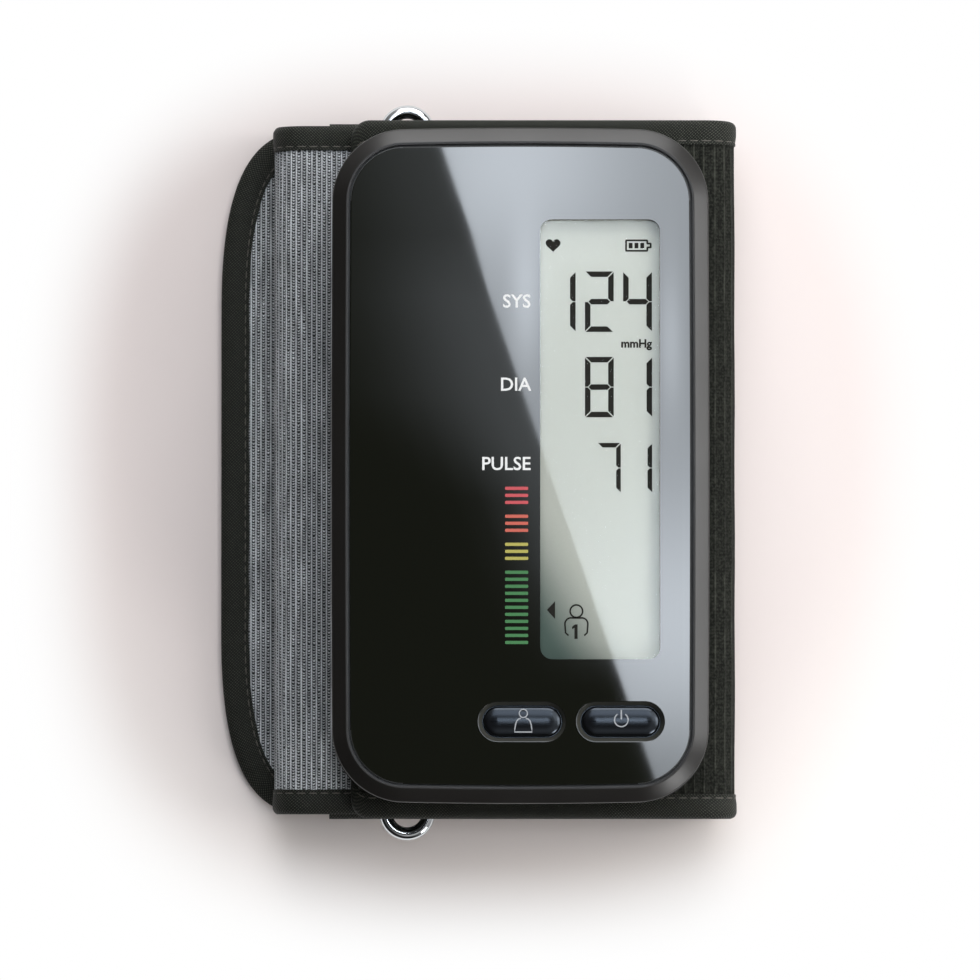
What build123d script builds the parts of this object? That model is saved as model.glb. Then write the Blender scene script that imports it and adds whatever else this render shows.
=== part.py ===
from build123d import *
import os
from math import cos, radians, sin

# One-piece upper arm blood pressure monitor, cuff folded for storage. Millimetres.
# +Z comes out of the display, +Y is the top of the display, +X is to its right.
# Everything is laid out around the middle of the housing in X and Y, with Z from the
# surface it lies on, and moved to the final origin when it is written.

# ---------------------------------------------------------------- driving dimensions
# Housing
housing_width = 78.2
housing_length = 139.9
housing_height = 22.0
front_depth = 9.0
side_bow = 0.3
end_bow = 0.75
corner_radius = 14.4
wall = 1.8
rim_width = 2.9
rim_drop = 1.7
lip_width = 0.5
back_round = 5.0
parting_groove = 0.35
past = 1.0              # how far a cutting shape runs beyond what it cuts

# Face panel, window and buttons
panel_gap = 0.3
panel_thickness = 2.0
ledge_width = 2.4
ledge_thickness = 1.4
window_width = 25.6
window_length = 91.7
window_corner = 3.0
window_side_margin = 9.8
window_top_margin = 18.75
pane_thickness = 0.8
pane_gap = 0.05
button_end_margin = 16.95
button_side_margin = 10.3
button_pitch = 20.3
cap_length = 16.2
cap_width = 6.3
cap_dome = 0.7
cap_gap = 0.25
cap_flange = 0.9
cap_flange_thickness = 0.8
dish_margin = 1.0
dish_depth = 1.0
button_travel = 0.6
stem_radius = 1.5
press_gap = 0.1

# Display stack
lcd_thickness = 1.9
lcd_margin = 1.6
lcd_end_margin = 4.0
reflector_thickness = 0.8
display_gap = 0.1
holder_wall = 1.2
holder_floor = 1.0
strip_width = 2.0

# Circuit board
board_width = 39.0
board_side_margin = 6.1
board_bottom_margin = 8.95
board_top_margin = 12.45
board_thickness = 1.2
board_depth = 8.0
switch_size = 6.0
switch_height = 3.3
plunger_height = 1.0
standoff_width = 4.4
standoff_side_inset = 3.5
standoff_bottom_inset = 12.0
standoff_top_inset = 7.0
chip_height = 1.2
sensor_y = -4.0
# Each chip: from the board's right edge, from its bottom edge, width and length
chips = ((13.0, 71.0, 10.0, 10.0), (11.0, 43.0, 7.0, 5.0), (19.0, 27.0, 5.0, 4.0),
         (8.0, 93.0, 4.0, 6.0), (23.0, 46.0, 5.0, 5.0))

# Fasteners
boss_radius = 3.0
screw_radius = 1.2
screw_head_radius = 2.2
screw_head_height = 1.4
screw_end_gap = 1.0
screw_side_inset = 11.1
screw_end_inset = 8.45
screw_gap = 0.15

# Air system and power
motor_radius = 7.5
motor_length = 24.0
pump_width = 17.0
pump_length = 18.0
pump_height = 14.6
head_corner = 2.0
pump_side_margin = 9.6
pump_y = 8.0
cell_radius = 7.0
cell_length = 50.0
cell_cap = 1.0
cell_side_margin = 8.1
cell_end_margin = 12.45
cradle_thickness = 2.0
cradle_inset = 10.0
pad_inset = 2.0
pad_end_inset = 4.0
cradle_gap = 0.15
valve_width = 9.0
valve_length = 12.0
valve_height = 8.0
valve_chamfer = 0.6
valve_port_rise = 1.5
valve_y = -5.0
manifold_width = 7.0
manifold_bottom = -14.0
manifold_top = 46.0
manifold_height = 5.4
manifold_x = 1.0
hose_radius = 1.8
hose_bore = 0.8
port_x = 1.0
port_y = 20.0
port_radius = 2.2
port_bore = 0.8
seal_section = 0.6
socket_width = 7.6
socket_depth = 5.4
socket_height = 2.7
socket_inset = 21.0
socket_skin = 0.3
socket_recess = 1.3
board_tab_width = 12.0
board_tab_margin = 4.15

# Mounting plate between the cuff and the housing
plate_thickness = 1.2
plate_width = 50.0
plate_length = 104.0
plate_corner = 8.0
plate_gap = 0.15
hook_x = 10.0
hook_length = 8.0
hook_thickness = 1.2
hook_nose = 1.0

# Cuff cloth
cloth = 0.6
film = 1.0
ply_gap = 0.1
layer_gap = 0.3
binding = 0.4
binding_width = 5.2
binding_edge = 0.5
cuff_width = 146.2
tongue_width = 144.2
cuff_corner = 4.0
tip_length = 17.9
tip_depth = 37.3
tip_fullness = 0.68
hook_patch_thickness = 0.8
hook_patch_length = 78.0
hook_patch_width = 108.0
middle_patch_length = 60.0
bladder_width = 124.0
bladder_margin = 8.0

# Where the folds lie, left to right
tip_left = -62.9
fold_left = -51.9
panel_left = -35.3
pocket_end = -40.0
fold_right = 45.4
tongue_fold_right = 42.2

# Ring
wire_radius = 1.4
ring_width = 11.8
ring_length = 154.2
ring_x = -23.6
ring_y = -0.5
ring_gap = 0.3
wire_sides = 12
webbing = 0.9
webbing_width = 118.0
webbing_end = -7.0

# ---------------------------------------------------------------- worked out from these
tongue_half = cloth + ply_gap / 2
pocket_half = cloth + ply_gap + film / 2
tongue_reach = tongue_half + binding
pocket_reach = pocket_half + binding

z_end = hook_patch_thickness + ply_gap + tongue_half
z_middle = z_end + 2 * tongue_reach + layer_gap
z_under = z_middle + tongue_reach + layer_gap + pocket_reach
z_inner = z_under + pocket_reach + layer_gap + tongue_reach
z_ring = z_inner + tongue_reach + ring_gap + wire_radius
z_top_layer = z_ring + wire_radius + ring_gap + tongue_reach
z_base = z_top_layer + tongue_reach + layer_gap + pocket_reach

radius_right = (z_base - z_under) / 2
radius_left = (z_top_layer - z_middle) / 2
radius_inner = (z_inner - z_under) / 2
radius_ring = (z_top_layer - z_inner) / 2
radius_end = (z_middle - z_end) / 2

x_right = fold_right - radius_right - pocket_reach
x_left = fold_left + radius_left + tongue_reach
x_end = tongue_fold_right - radius_end - tongue_reach
ring_bar = ring_width / 2 - wire_radius
x_bar = ring_x - ring_bar

z_housing = z_base + pocket_half + plate_gap
z_top = z_housing + housing_height
z_parting = z_top - front_depth
z_floor = z_housing + plate_thickness + plate_gap + wall
z_panel = z_top - panel_thickness
z_ledge = z_panel - ledge_thickness
z_board = z_top - board_depth
z_switch = z_board + switch_height
# Places in the housing, from its sides and ends
half_width = housing_width / 2
half_length = housing_length / 2
window_x = half_width - window_side_margin - window_width / 2
window_y = half_length - window_top_margin - window_length / 2
button_y = button_end_margin - half_length
power_x = half_width - button_side_margin - cap_length / 2
board_right = half_width - board_side_margin
board_left = board_right - board_width
board_bottom = board_bottom_margin - half_length
board_top = half_length - board_top_margin
board_tab_end = half_length - board_tab_margin
socket_x = board_right - socket_inset
screw_x = half_width - screw_side_inset
screw_y = half_length - screw_end_inset
cell_x = cell_side_margin + cell_radius - half_width
cell_y = cell_end_margin - half_length
pump_x = pump_side_margin + pump_width / 2 - half_width
valve_x = pump_x
screws = [(x, y) for x in (-screw_x, screw_x) for y in (-screw_y, screw_y)]
buttons = {"button_user": power_x - button_pitch, "button_power": power_x}
hose_places = [(pump_x + pump_width / 2, pump_y + motor_length + pump_length / 2),
               (valve_x + valve_width / 2, valve_y + valve_length / 2)]
hooks = [(x, y) for x in (-hook_x, hook_x)
         for y in (hook_thickness - plate_length / 2, plate_length / 2 - hook_thickness)]

origin_x = (tip_left + fold_right) / 2
origin_y = ring_y


# ---------------------------------------------------------------- helpers
def block(x_span, y_span, z_span):
    """A box between two values on each axis."""
    low = [min(x_span), min(y_span), min(z_span)]
    high = [max(x_span), max(y_span), max(z_span)]
    size = [b - a for a, b in zip(low, high)]
    middle = [(a + b) / 2 for a, b in zip(low, high)]
    return Pos(*middle) * Box(*size)


def post(x, y, z_low, z_high, radius):
    """An upright cylinder."""
    return Pos(x, y, (z_low + z_high) / 2) * Cylinder(radius, z_high - z_low)


def outline(inset):
    """The housing's plan, with gently bowed sides, drawn in by a margin."""
    half_x = housing_width / 2 - inset
    half_y = housing_length / 2 - inset
    corner_x = half_x - side_bow
    corner_y = half_y - end_bow
    sides = [
        ThreePointArc((-corner_x, -corner_y), (0, -half_y), (corner_x, -corner_y)),
        ThreePointArc((corner_x, -corner_y), (half_x, 0), (corner_x, corner_y)),
        ThreePointArc((corner_x, corner_y), (0, half_y), (-corner_x, corner_y)),
        ThreePointArc((-corner_x, corner_y), (-half_x, 0), (-corner_x, -corner_y)),
    ]
    face = make_face(sides)
    return fillet(face.vertices(), corner_radius - inset)


def upright(face, z_low, z_high):
    """A plan shape raised between two heights."""
    return extrude(Pos(0, 0, z_low) * face, z_high - z_low)


def stadium(x, y, length, width, z_low, z_high):
    """A slot-shaped block lying along X."""
    return upright(Pos(x, y) * SlotOverall(length, width), z_low, z_high)


def rounded(x, y, width, length, corner, z_low, z_high):
    """A rounded rectangle raised between two heights."""
    return upright(Pos(x, y) * RectangleRounded(width, length, corner), z_low, z_high)


def ribbon(start, heading, moves, low, high, y_span):
    """Cloth that follows a path in the XZ plane.

    moves holds a length for a straight run, or (radius, turn) for a fold, with the turn
    in degrees, left positive. low and high are the faces' distances to the left of it.
    """
    x, z = start
    pieces = []
    for move in moves:
        ahead = (cos(radians(heading)), sin(radians(heading)))
        left = (-ahead[1], ahead[0])
        if isinstance(move, tuple):
            radius, turn = move
            side = 1 if turn > 0 else -1
            centre = (x + side * radius * left[0], z + side * radius * left[1])
            inner, outer = sorted((radius - side * low, radius - side * high))
            from_angle = heading - side * 90
            to_angle = from_angle + turn
            pieces.append(fold(centre, inner, outer, from_angle, to_angle, y_span))
            x = centre[0] + radius * cos(radians(to_angle))
            z = centre[1] + radius * sin(radians(to_angle))
            heading += turn
        else:
            end = (x + move * ahead[0], z + move * ahead[1])
            corners = [
                (px + d * left[0], pz + d * left[1])
                for px, pz, d in ((x, z, low), (*end, low), (*end, high), (x, z, high))
            ]
            pieces.append(side_view(Polygon(*corners, align=None), y_span))
            x, z = end
    return fused(pieces)


def side_view(face, y_span):
    """A face drawn in X and Z, carried along Y."""
    raised = extrude(Plane.XZ * face, y_span[1] - y_span[0])
    return Pos(0, y_span[1], 0) * raised


def fold(centre, inner, outer, from_angle, to_angle, y_span):
    """Half a turn of cloth around a line along Y."""
    low, high = sorted((from_angle, to_angle))
    ring = Circle(outer) - Circle(inner)
    middle = (low + high) / 2
    half = Rot(0, 0, middle) * Pos(outer, 0) * Rectangle(2 * outer, 4 * outer)
    return side_view(Pos(*centre) * (ring & half), y_span)


def fused(pieces):
    """One solid from touching pieces."""
    whole = pieces[0]
    for piece in pieces[1:]:
        whole = whole + piece
    return whole


def group(pieces):
    """Separate solids kept in one node."""
    return Compound([solid for piece in pieces for solid in piece.solids()])


def both_edges(make):
    """A group of two edge strips, one at each end in Y."""
    return group([make(1), make(-1)])


def edge_span(width, side, inset):
    """The stretch of Y that a binding covers along one edge."""
    return sorted((side * (width / 2 - inset), side * (width / 2 - binding_width)))


def bound_edges(start, heading, moves, half, width):
    """Binding tape folded over both long edges of a strip."""
    def one(side):
        skin = ribbon(start, heading, moves, -half - binding, half + binding,
                      edge_span(width, side, 0))
        slot = sorted((side * (width / 2 - binding_edge), 0))
        return skin - ribbon(start, heading, moves, -half - ply_gap / 2,
                             half + ply_gap / 2, slot)
    return both_edges(one)


# ---------------------------------------------------------------- housing
def front_housing():
    """Bezel, upper walls, the ledge that carries the face panel, and the screw posts."""
    body = upright(outline(0), z_parting, z_top)
    rim = body.faces().sort_by(Axis.Z)[-1]
    body = chamfer(rim.outer_wire().edges(), rim_drop, rim_width, reference=rim)
    seat = rim_width + lip_width
    body -= upright(outline(seat), z_panel, z_top + past)
    body -= upright(outline(seat + ledge_width), z_ledge - past, z_top + past)
    body -= upright(outline(wall), z_parting - past, z_ledge)
    for x, y in screws:
        tab = post(x, y, z_parting, z_ledge, boss_radius)
        body += tab - post(x, y, z_parting - past, z_ledge - wall, screw_radius)
    return body


def rear_cover():
    """Lower shell with rounded back, cradles, board posts and screw tubes."""
    shell = upright(outline(0), z_housing, z_parting - parting_groove)
    shell = fillet(shell.faces().sort_by(Axis.Z)[0].outer_wire().edges(), back_round)
    inside = upright(outline(wall), z_floor, z_parting + past)
    inside = chamfer(inside.faces().sort_by(Axis.Z)[0].outer_wire().edges(), back_round - wall)
    shell -= inside
    shell += upright(outline(wall - ply_gap) - outline(2 * wall), z_parting - 2 * wall,
                     z_parting - wall / 2)
    shell += upright(outline(wall + panel_gap) - outline(2 * wall), z_parting - wall,
                     z_parting + wall)
    for x, y in screws:
        shell += post(x, y, z_floor - ply_gap, z_parting - ply_gap, boss_radius)
        shell -= post(x, y, z_housing - past, z_parting + 2 * wall, screw_radius + screw_gap)
        shell -= post(x, y, z_housing - past, z_floor + screw_head_height, screw_head_radius + screw_gap)
    shell = shell + cradles() + board_posts() + pump_pads()
    recess = plate_gap + plate_thickness
    shell -= rounded(0, 0, plate_width + 2 * plate_gap, plate_length + 2 * plate_gap,
                     plate_corner + plate_gap, z_housing - past, z_housing + recess)
    for x, y in hooks:
        shell -= block((x - hook_length / 2 - plate_gap, x + hook_length / 2 + plate_gap),
                       (y - hook_thickness / 2 - plate_gap, y + hook_thickness / 2 + plate_gap),
                       (z_housing, z_floor + past))
    shell -= post(port_x, port_y, z_housing - past, z_floor + past, port_radius + plate_gap)
    shell -= socket_block(2 * plate_gap, 2 * wall)
    return shell


def cradles():
    """Saddles for the cell and the motor, on the floor of the rear cover."""
    saddles = []
    cell_z = z_floor + cell_radius + cradle_thickness / 2
    for y in (cell_y + cradle_inset, cell_y + cell_length - cradle_inset):
        saddle = block((cell_x - cell_radius, cell_x + cell_radius),
                       (y - cradle_thickness / 2, y + cradle_thickness / 2),
                       (z_floor - ply_gap, cell_z))
        saddles.append(saddle - along_y(cell_x, cell_z, cell_y - past, cell_length + 2 * past,
                                        cell_radius + cradle_gap))
    motor_z = motor_axis()
    y = pump_y + motor_length / 2
    saddle = block((pump_x - motor_radius, pump_x + motor_radius),
                   (y - cradle_thickness, y + cradle_thickness), (z_floor - ply_gap, motor_z))
    saddles.append(saddle - along_y(pump_x, motor_z, pump_y, motor_length,
                                    motor_radius + cradle_gap))
    return fused(saddles)


def motor_axis():
    """Height of the pump motor's axis."""
    return z_floor + cradle_thickness / 2 + motor_radius


def along_y(x, z, y, length, radius):
    """A cylinder lying along Y, from y onwards."""
    return Pos(x, y + length / 2, z) * Rot(90, 0, 0) * Cylinder(radius, length)


def board_posts():
    """Posts that carry the circuit board."""
    low = z_floor - ply_gap
    high = z_board - board_thickness
    return fused([centred(x, y, standoff_width, standoff_width, low, high)
                  for x in (board_left + standoff_side_inset, board_right - standoff_side_inset)
                  for y in (board_bottom + standoff_bottom_inset, board_top - standoff_top_inset)])


def pump_pads():
    """Low pads under the pump head, the valve and the manifold."""
    low = z_floor - ply_gap
    head = block((pump_x - pump_width / 2, pump_x + pump_width / 2),
                 (pump_y + motor_length + pad_inset, pump_y + motor_length + pump_length - pad_inset),
                 (low, pump_bottom() - cradle_gap))
    valve = block((valve_x - valve_width / 3, valve_x + valve_width / 3),
                  (valve_y + pad_inset, valve_y + valve_length - pad_inset),
                  (low, valve_bottom() - cradle_gap))
    ends = [block((manifold_x - manifold_width / 2, manifold_x + manifold_width / 2),
                  (y - cradle_thickness, y + cradle_thickness),
                  (low, manifold_bottom_z() - cradle_gap))
            for y in (manifold_bottom + pad_end_inset, manifold_top - pad_end_inset)]
    return fused([head, valve, *ends])


def pump_bottom():
    """Underside of the pump head, which is centred on the motor."""
    return motor_axis() - pump_height / 2


def hose_z():
    """Height of the hoses and of the ports that they fit."""
    return manifold_bottom_z() + manifold_height / 2


def manifold_bottom_z():
    """Underside of the air manifold."""
    return z_floor + cradle_thickness / 2


def valve_bottom():
    """Underside of the release valve, whose port is level with the manifold's."""
    return hose_z() - valve_height / 2 + valve_port_rise


def face_panel():
    """Gloss plate with the display window and two dished button holes."""
    seat = rim_width + lip_width + panel_gap
    plate = upright(outline(seat), z_panel + pane_gap, z_top)
    plate = chamfer(plate.faces().sort_by(Axis.Z)[-1].outer_wire().edges(), panel_gap)
    plate -= rounded(window_x, window_y, window_width, window_length, window_corner,
                     z_panel - past, z_top + past)
    for x in buttons.values():
        hole_length = cap_length + 2 * cap_gap
        hole_width = cap_width + 2 * cap_gap
        dish = stadium(x, button_y, cap_length + 2 * dish_margin, cap_width + 2 * dish_margin,
                       z_top - dish_depth, z_top + past)
        plate -= dish
        plate -= stadium(x, button_y, hole_length, hole_width, z_panel - past, z_top)
    return plate


def display_pane():
    """Clear pane set flush in the panel's window."""
    return rounded(window_x, window_y, window_width - 2 * pane_gap, window_length - 2 * pane_gap,
                   window_corner - pane_gap, z_top - pane_thickness, z_top)


def button(x):
    """Cap with a crowned top, a retaining flange under the panel, and a stem."""
    flange_top = z_panel - press_gap / 2
    flange_bottom = flange_top - cap_flange_thickness
    cap = stadium(x, button_y, cap_length, cap_width, flange_top, z_top)
    cap = chamfer(cap.faces().sort_by(Axis.Z)[-1].outer_wire().edges(), cap_dome)
    flange = stadium(x, button_y, cap_length + 2 * cap_flange, cap_width + 2 * cap_flange,
                     flange_bottom, flange_top)
    foot = z_switch + button_travel + press_gap
    return cap + flange + post(x, button_y, foot, flange_bottom, stem_radius)


# ---------------------------------------------------------------- display and electronics
lcd_width = window_width + 2 * lcd_margin
lcd_length = window_length + 2 * lcd_end_margin
z_lcd = z_panel - display_gap - lcd_thickness
z_reflector = z_lcd - display_gap - reflector_thickness
z_holder = z_reflector - display_gap - holder_floor


def centred(x, y, width, length, z_low, z_high):
    """A plain block centred in plan."""
    return block((x - width / 2, x + width / 2), (y - length / 2, y + length / 2),
                 (z_low, z_high))


def lcd_glass():
    """The display's glass sandwich."""
    return centred(window_x, window_y, lcd_width, lcd_length, z_lcd, z_lcd + lcd_thickness)


def reflector():
    """White sheet behind the glass, clear of the contact strips."""
    return centred(window_x, window_y, lcd_width, lcd_length - 2 * (strip_width + 2 * holder_floor),
                   z_reflector, z_reflector + reflector_thickness)


def strip_places():
    """Middle of each contact strip in Y."""
    reach = lcd_length / 2 - strip_width
    return [window_y - reach, window_y + reach]


def contact_strips():
    """Rubber strips that join the glass to the board."""
    strips = [centred(window_x, y, lcd_width - 2 * lcd_margin, strip_width,
                      z_board + pane_gap, z_lcd - pane_gap) for y in strip_places()]
    return group(strips)


def display_holder():
    """Tray that carries the display on the board."""
    width = lcd_width + 2 * (display_gap + holder_wall)
    length = lcd_length + 2 * (display_gap + holder_wall)
    tray = centred(window_x, window_y, width, length, z_board + pane_gap, z_panel - display_gap)
    tray -= centred(window_x, window_y, lcd_width + 2 * display_gap, lcd_length + 2 * display_gap,
                    z_holder + holder_floor, z_top)
    tray -= centred(window_x, window_y, lcd_width, lcd_length - 4 * strip_width,
                    z_board - past, z_holder)
    for y in strip_places():
        tray -= centred(window_x, y, lcd_width - 2 * lcd_margin + 4 * display_gap,
                        strip_width + 4 * display_gap, z_board - past, z_top)
    return tray


def main_board():
    """Circuit board with a tab for the charging socket, clear of the screw posts."""
    low = z_board - board_thickness
    board = block((board_left, board_right), (board_bottom, board_top), (low, z_board))
    board += block((socket_x - board_tab_width / 2, socket_x + board_tab_width / 2),
                   (board_top - past, board_tab_end), (low, z_board))
    for x, y in screws:
        board -= post(x, y, low - past, z_board + past, boss_radius + layer_gap)
    return board


def board_chips():
    """Packages on the underside of the board."""
    top = z_board - board_thickness
    return group([centred(board_right - x, board_bottom + y, width, length, top - chip_height, top)
                  for x, y, width, length in chips])


def pressure_sensor():
    """Sensor under the board, its port on the manifold."""
    top = z_board - board_thickness
    body = centred(manifold_x, sensor_y, manifold_width, manifold_width, top - 2 * chip_height,
                   top)
    return body + post(manifold_x, sensor_y, manifold_bottom_z() + manifold_height + pane_gap,
                       top, stem_radius)


def tact_switches():
    """Two switches, one under each button's stem."""
    switches = []
    for x in buttons.values():
        body = centred(x, button_y, switch_size, switch_size, z_board, z_switch - plunger_height)
        switches.append(body + post(x, button_y, z_switch - plunger_height, z_switch, stem_radius + ply_gap))
    return group(switches)


def socket_block(clear, outwards):
    """The charging socket's outline, grown all round and carried outwards."""
    top = z_board - board_thickness
    mouth = housing_length / 2 - socket_recess
    return block((socket_x - socket_width / 2 - clear, socket_x + socket_width / 2 + clear),
                 (mouth - socket_depth - clear, mouth + outwards),
                 (top - socket_height - clear, top + (clear if outwards else 0)))


def charging_socket():
    """Charging socket under the board's tab, with its tongue."""
    skin = socket_skin
    top = z_board - board_thickness
    shell = socket_block(0, 0)
    mouth = housing_length / 2 - socket_recess
    shell -= block((socket_x - socket_width / 2 + skin, socket_x + socket_width / 2 - skin),
                   (mouth - socket_depth + 2 * skin, mouth + past),
                   (top - socket_height + skin, top - skin))
    middle = top - socket_height / 2
    return shell + block((socket_x - socket_width / 3, socket_x + socket_width / 3),
                         (mouth - socket_depth + skin, mouth - 2 * skin),
                         (middle - skin, middle + skin))


def housing_screws():
    """Four screws put in from the back."""
    made = []
    for x, y in screws:
        head = post(x, y, z_floor + pane_gap, z_floor + screw_head_height - pane_gap,
                    screw_head_radius)
        shank = post(x, y, z_floor + screw_head_height - pane_gap, z_ledge - wall - screw_end_gap,
                     screw_radius - pane_gap)
        made.append(head + shank)
    return group(made)


# ---------------------------------------------------------------- air system and power
def cell():
    """Rechargeable cell with its raised end."""
    z = z_floor + cell_radius + cradle_thickness / 2
    body = along_y(cell_x, z, cell_y, cell_length - cell_cap, cell_radius)
    return body + along_y(cell_x, z, cell_y + cell_length - cell_cap, cell_cap, cell_radius / 3)


def pump_motor():
    """Motor can."""
    return along_y(pump_x, motor_axis(), pump_y, motor_length - pane_gap, motor_radius)


def pump_head():
    """Diaphragm head, square with rounded corners, with its outlet."""
    profile = Pos(pump_x, motor_axis()) * RectangleRounded(pump_width, pump_height, head_corner)
    y = pump_y + motor_length
    return side_view(profile, (y, y + pump_length))


def release_valve():
    """Solenoid valve."""
    z = valve_bottom()
    body = centred(valve_x, valve_y + valve_length / 2, valve_width, valve_length, z,
                   z + valve_height)
    return chamfer(body.edges().filter_by(Axis.Y), valve_chamfer)


def air_manifold():
    """Bar that joins the pump, the valve, the sensor and the cuff's port."""
    low = manifold_bottom_z()
    bar = block((manifold_x - manifold_width / 2, manifold_x + manifold_width / 2),
                (manifold_bottom, manifold_top), (low, low + manifold_height))
    bar = fillet(bar.edges().filter_by(Axis.Z), head_corner)
    return bar - post(port_x, port_y, low - past, low + manifold_height / 2,
                      port_radius + pane_gap)


def hoses():
    """Short silicone hoses from the pump and the valve to the manifold."""
    made = []
    right = manifold_x - manifold_width / 2 - ply_gap
    for x, y in hose_places:
        length = right - x - ply_gap
        tube = Cylinder(hose_radius, length) - Cylinder(hose_bore, length + past)
        made.append(Pos(right - length / 2, y, hose_z()) * Rot(0, 90, 0) * tube)
    return group(made)


def port_seal():
    """Gasket around the port, between the manifold and the rear cover."""
    low = z_floor + pane_gap
    high = manifold_bottom_z() - pane_gap
    outer = post(port_x, port_y, low, high, port_radius + 2 * seal_section)
    return outer - post(port_x, port_y, low - past, high + past, port_radius + pane_gap)


def air_port():
    """Moulded port that rises from the bladder into the manifold."""
    low = z_base + film / 2
    high = manifold_bottom_z() + manifold_height / 2 - ply_gap
    return post(port_x, port_y, low, high, port_radius) - post(port_x, port_y, low - past,
                                                               high + past, port_bore)


def mounting_plate():
    """Plate bonded to the cuff, nested in the rear cover, with four hooks into it."""
    low = z_housing - plate_gap + pane_gap
    plate = rounded(0, 0, plate_width, plate_length, plate_corner, low, low + plate_thickness)
    shelf = z_floor + plate_gap
    for x, y in hooks:
        out = 1 if y > 0 else -1
        ends = (x - hook_length / 2, x + hook_length / 2)
        plate += block(ends, (y - hook_thickness / 2, y + hook_thickness / 2),
                       (low, shelf + hook_thickness))
        plate += block(ends, (y, y + out * (hook_thickness / 2 + hook_nose)),
                       (shelf, shelf + hook_thickness))
    return plate - post(port_x, port_y, low - past, low + wall, port_radius + ply_gap)


# ---------------------------------------------------------------- cuff
pocket_path = ((panel_left, z_base), 0,
               [x_right - panel_left, (radius_right, -180), x_right - pocket_end])
root_path = ((pocket_end, z_under), 180,
             [pocket_end - x_left, (radius_inner, -180), x_bar - x_left,
              (radius_ring, 180), x_bar - x_left])
left_fold_path = ((x_left, z_top_layer), 180, [(radius_left, 180)])
middle_path = ((x_left + ply_gap, z_middle), 0, [x_end - x_left - 2 * ply_gap])
end_fold_path = ((x_end, z_middle), 0, [(radius_end, -180)])


def cloth_span(width):
    """The stretch of Y that the cloth covers inside its bindings."""
    half = width / 2 - binding_edge - ply_gap / 2
    return (-half, half)


def corner_trim(radius):
    """What rounds off the two free corners of the base panel."""
    low, high = z_base - pocket_reach - past, z_base + pocket_reach + past
    cuts = []
    for side in (-1, 1):
        edge = side * cuff_width / 2
        square = block((panel_left - past, panel_left + radius), (edge + side, edge - side * radius),
                       (low, high))
        cuts.append(square - post(panel_left + radius, edge - side * radius, low, high, radius))
    return fused(cuts)


def port_hole():
    """Hole for the port through the base panel's outer cloth."""
    return post(port_x, port_y, z_base, z_housing, port_radius + ply_gap)


def pocket_cloth():
    """Outer cloth of the bladder pocket, from the base panel round to the underside."""
    skin = ribbon(*pocket_path, film / 2 + ply_gap, pocket_half, cloth_span(cuff_width))
    return skin - port_hole() - corner_trim(cuff_corner)


def pocket_lining():
    """Lining of the bladder pocket, which faces the arm."""
    skin = ribbon(*pocket_path, -pocket_half, -film / 2 - ply_gap, cloth_span(cuff_width))
    return skin - corner_trim(cuff_corner)


def pocket_binding():
    """Binding along both edges of the pocket."""
    pair = bound_edges(*pocket_path, pocket_half, cuff_width)
    return group([strip - corner_trim(cuff_corner) for strip in pair.solids()])


def bladder():
    """Flat bladder, which follows the pocket round its fold."""
    start = (panel_left + bladder_margin, z_base)
    moves = [x_right - start[0], (radius_right, -180), x_right - pocket_end - bladder_margin]
    return ribbon(start, 0, moves, -film / 2, film / 2, (-bladder_width / 2, bladder_width / 2))


def tongue_cloth(path):
    """Outer cloth of one stretch of the tongue."""
    return ribbon(*path, ply_gap / 2, tongue_half, cloth_span(tongue_width))


def tongue_lining(path):
    """Lining of one stretch of the tongue."""
    return ribbon(*path, -tongue_half, -ply_gap / 2, cloth_span(tongue_width))


def tongue_binding(path):
    """Binding along both edges of one stretch of the tongue."""
    return bound_edges(*path, tongue_half, tongue_width)


def tongue_fold(path):
    """A fold of the tongue, cloth and bindings together."""
    cloths = ribbon(*path, -tongue_half, tongue_half, cloth_span(tongue_width))
    return group([cloths, *tongue_binding(path).solids()])


def tip_plan(inset):
    """Plan of the tongue's end, its free corners full and rounded."""
    half = tongue_width / 2 - inset
    left = tip_left + inset
    across = tip_length - inset
    along = tip_depth - inset
    right = x_end - ply_gap
    upper = Bezier((left, half - along), (left, half - along * (1 - tip_fullness)),
                   (left + across * (1 - tip_fullness), half), (left + across, half))
    lower = Bezier((left + across, -half), (left + across * (1 - tip_fullness), -half),
                   (left, along * (1 - tip_fullness) - half), (left, along - half))
    rest = Polyline((left + across, half), (right, half), (right, -half), (left + across, -half))
    edge = Line((left, along - half), (left, half - along))
    return make_face([upper, rest, lower, edge])


def tip_ply(low, high):
    """One ply of the tongue's end."""
    return upright(tip_plan(binding_edge + ply_gap / 2), z_end + low, z_end + high)


def tip_binding():
    """Binding folded over the edge all round the tongue's end."""
    skin = upright(tip_plan(0) - tip_plan(binding_width), z_end - tongue_reach,
                   z_end + tongue_reach)
    skin = skin - upright(tip_plan(binding_edge), z_end - tongue_half - ply_gap / 2,
                          z_end + tongue_half + ply_gap / 2)
    return skin


def hook_patch_end():
    """Hook patch on the outer face of the tongue's end, which the object lies on."""
    right = tip_left + tip_length + hook_patch_length
    return block((tip_left + tip_length, right), (-hook_patch_width / 2, hook_patch_width / 2),
                 (0, hook_patch_thickness))


def hook_patch_middle():
    """Hook patch on the outer face of the middle stretch, held by the pocket's cloth."""
    low = z_middle + tongue_half + ply_gap / 2
    return centred(0, 0, middle_patch_length, hook_patch_width, low, low + hook_patch_thickness)


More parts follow.
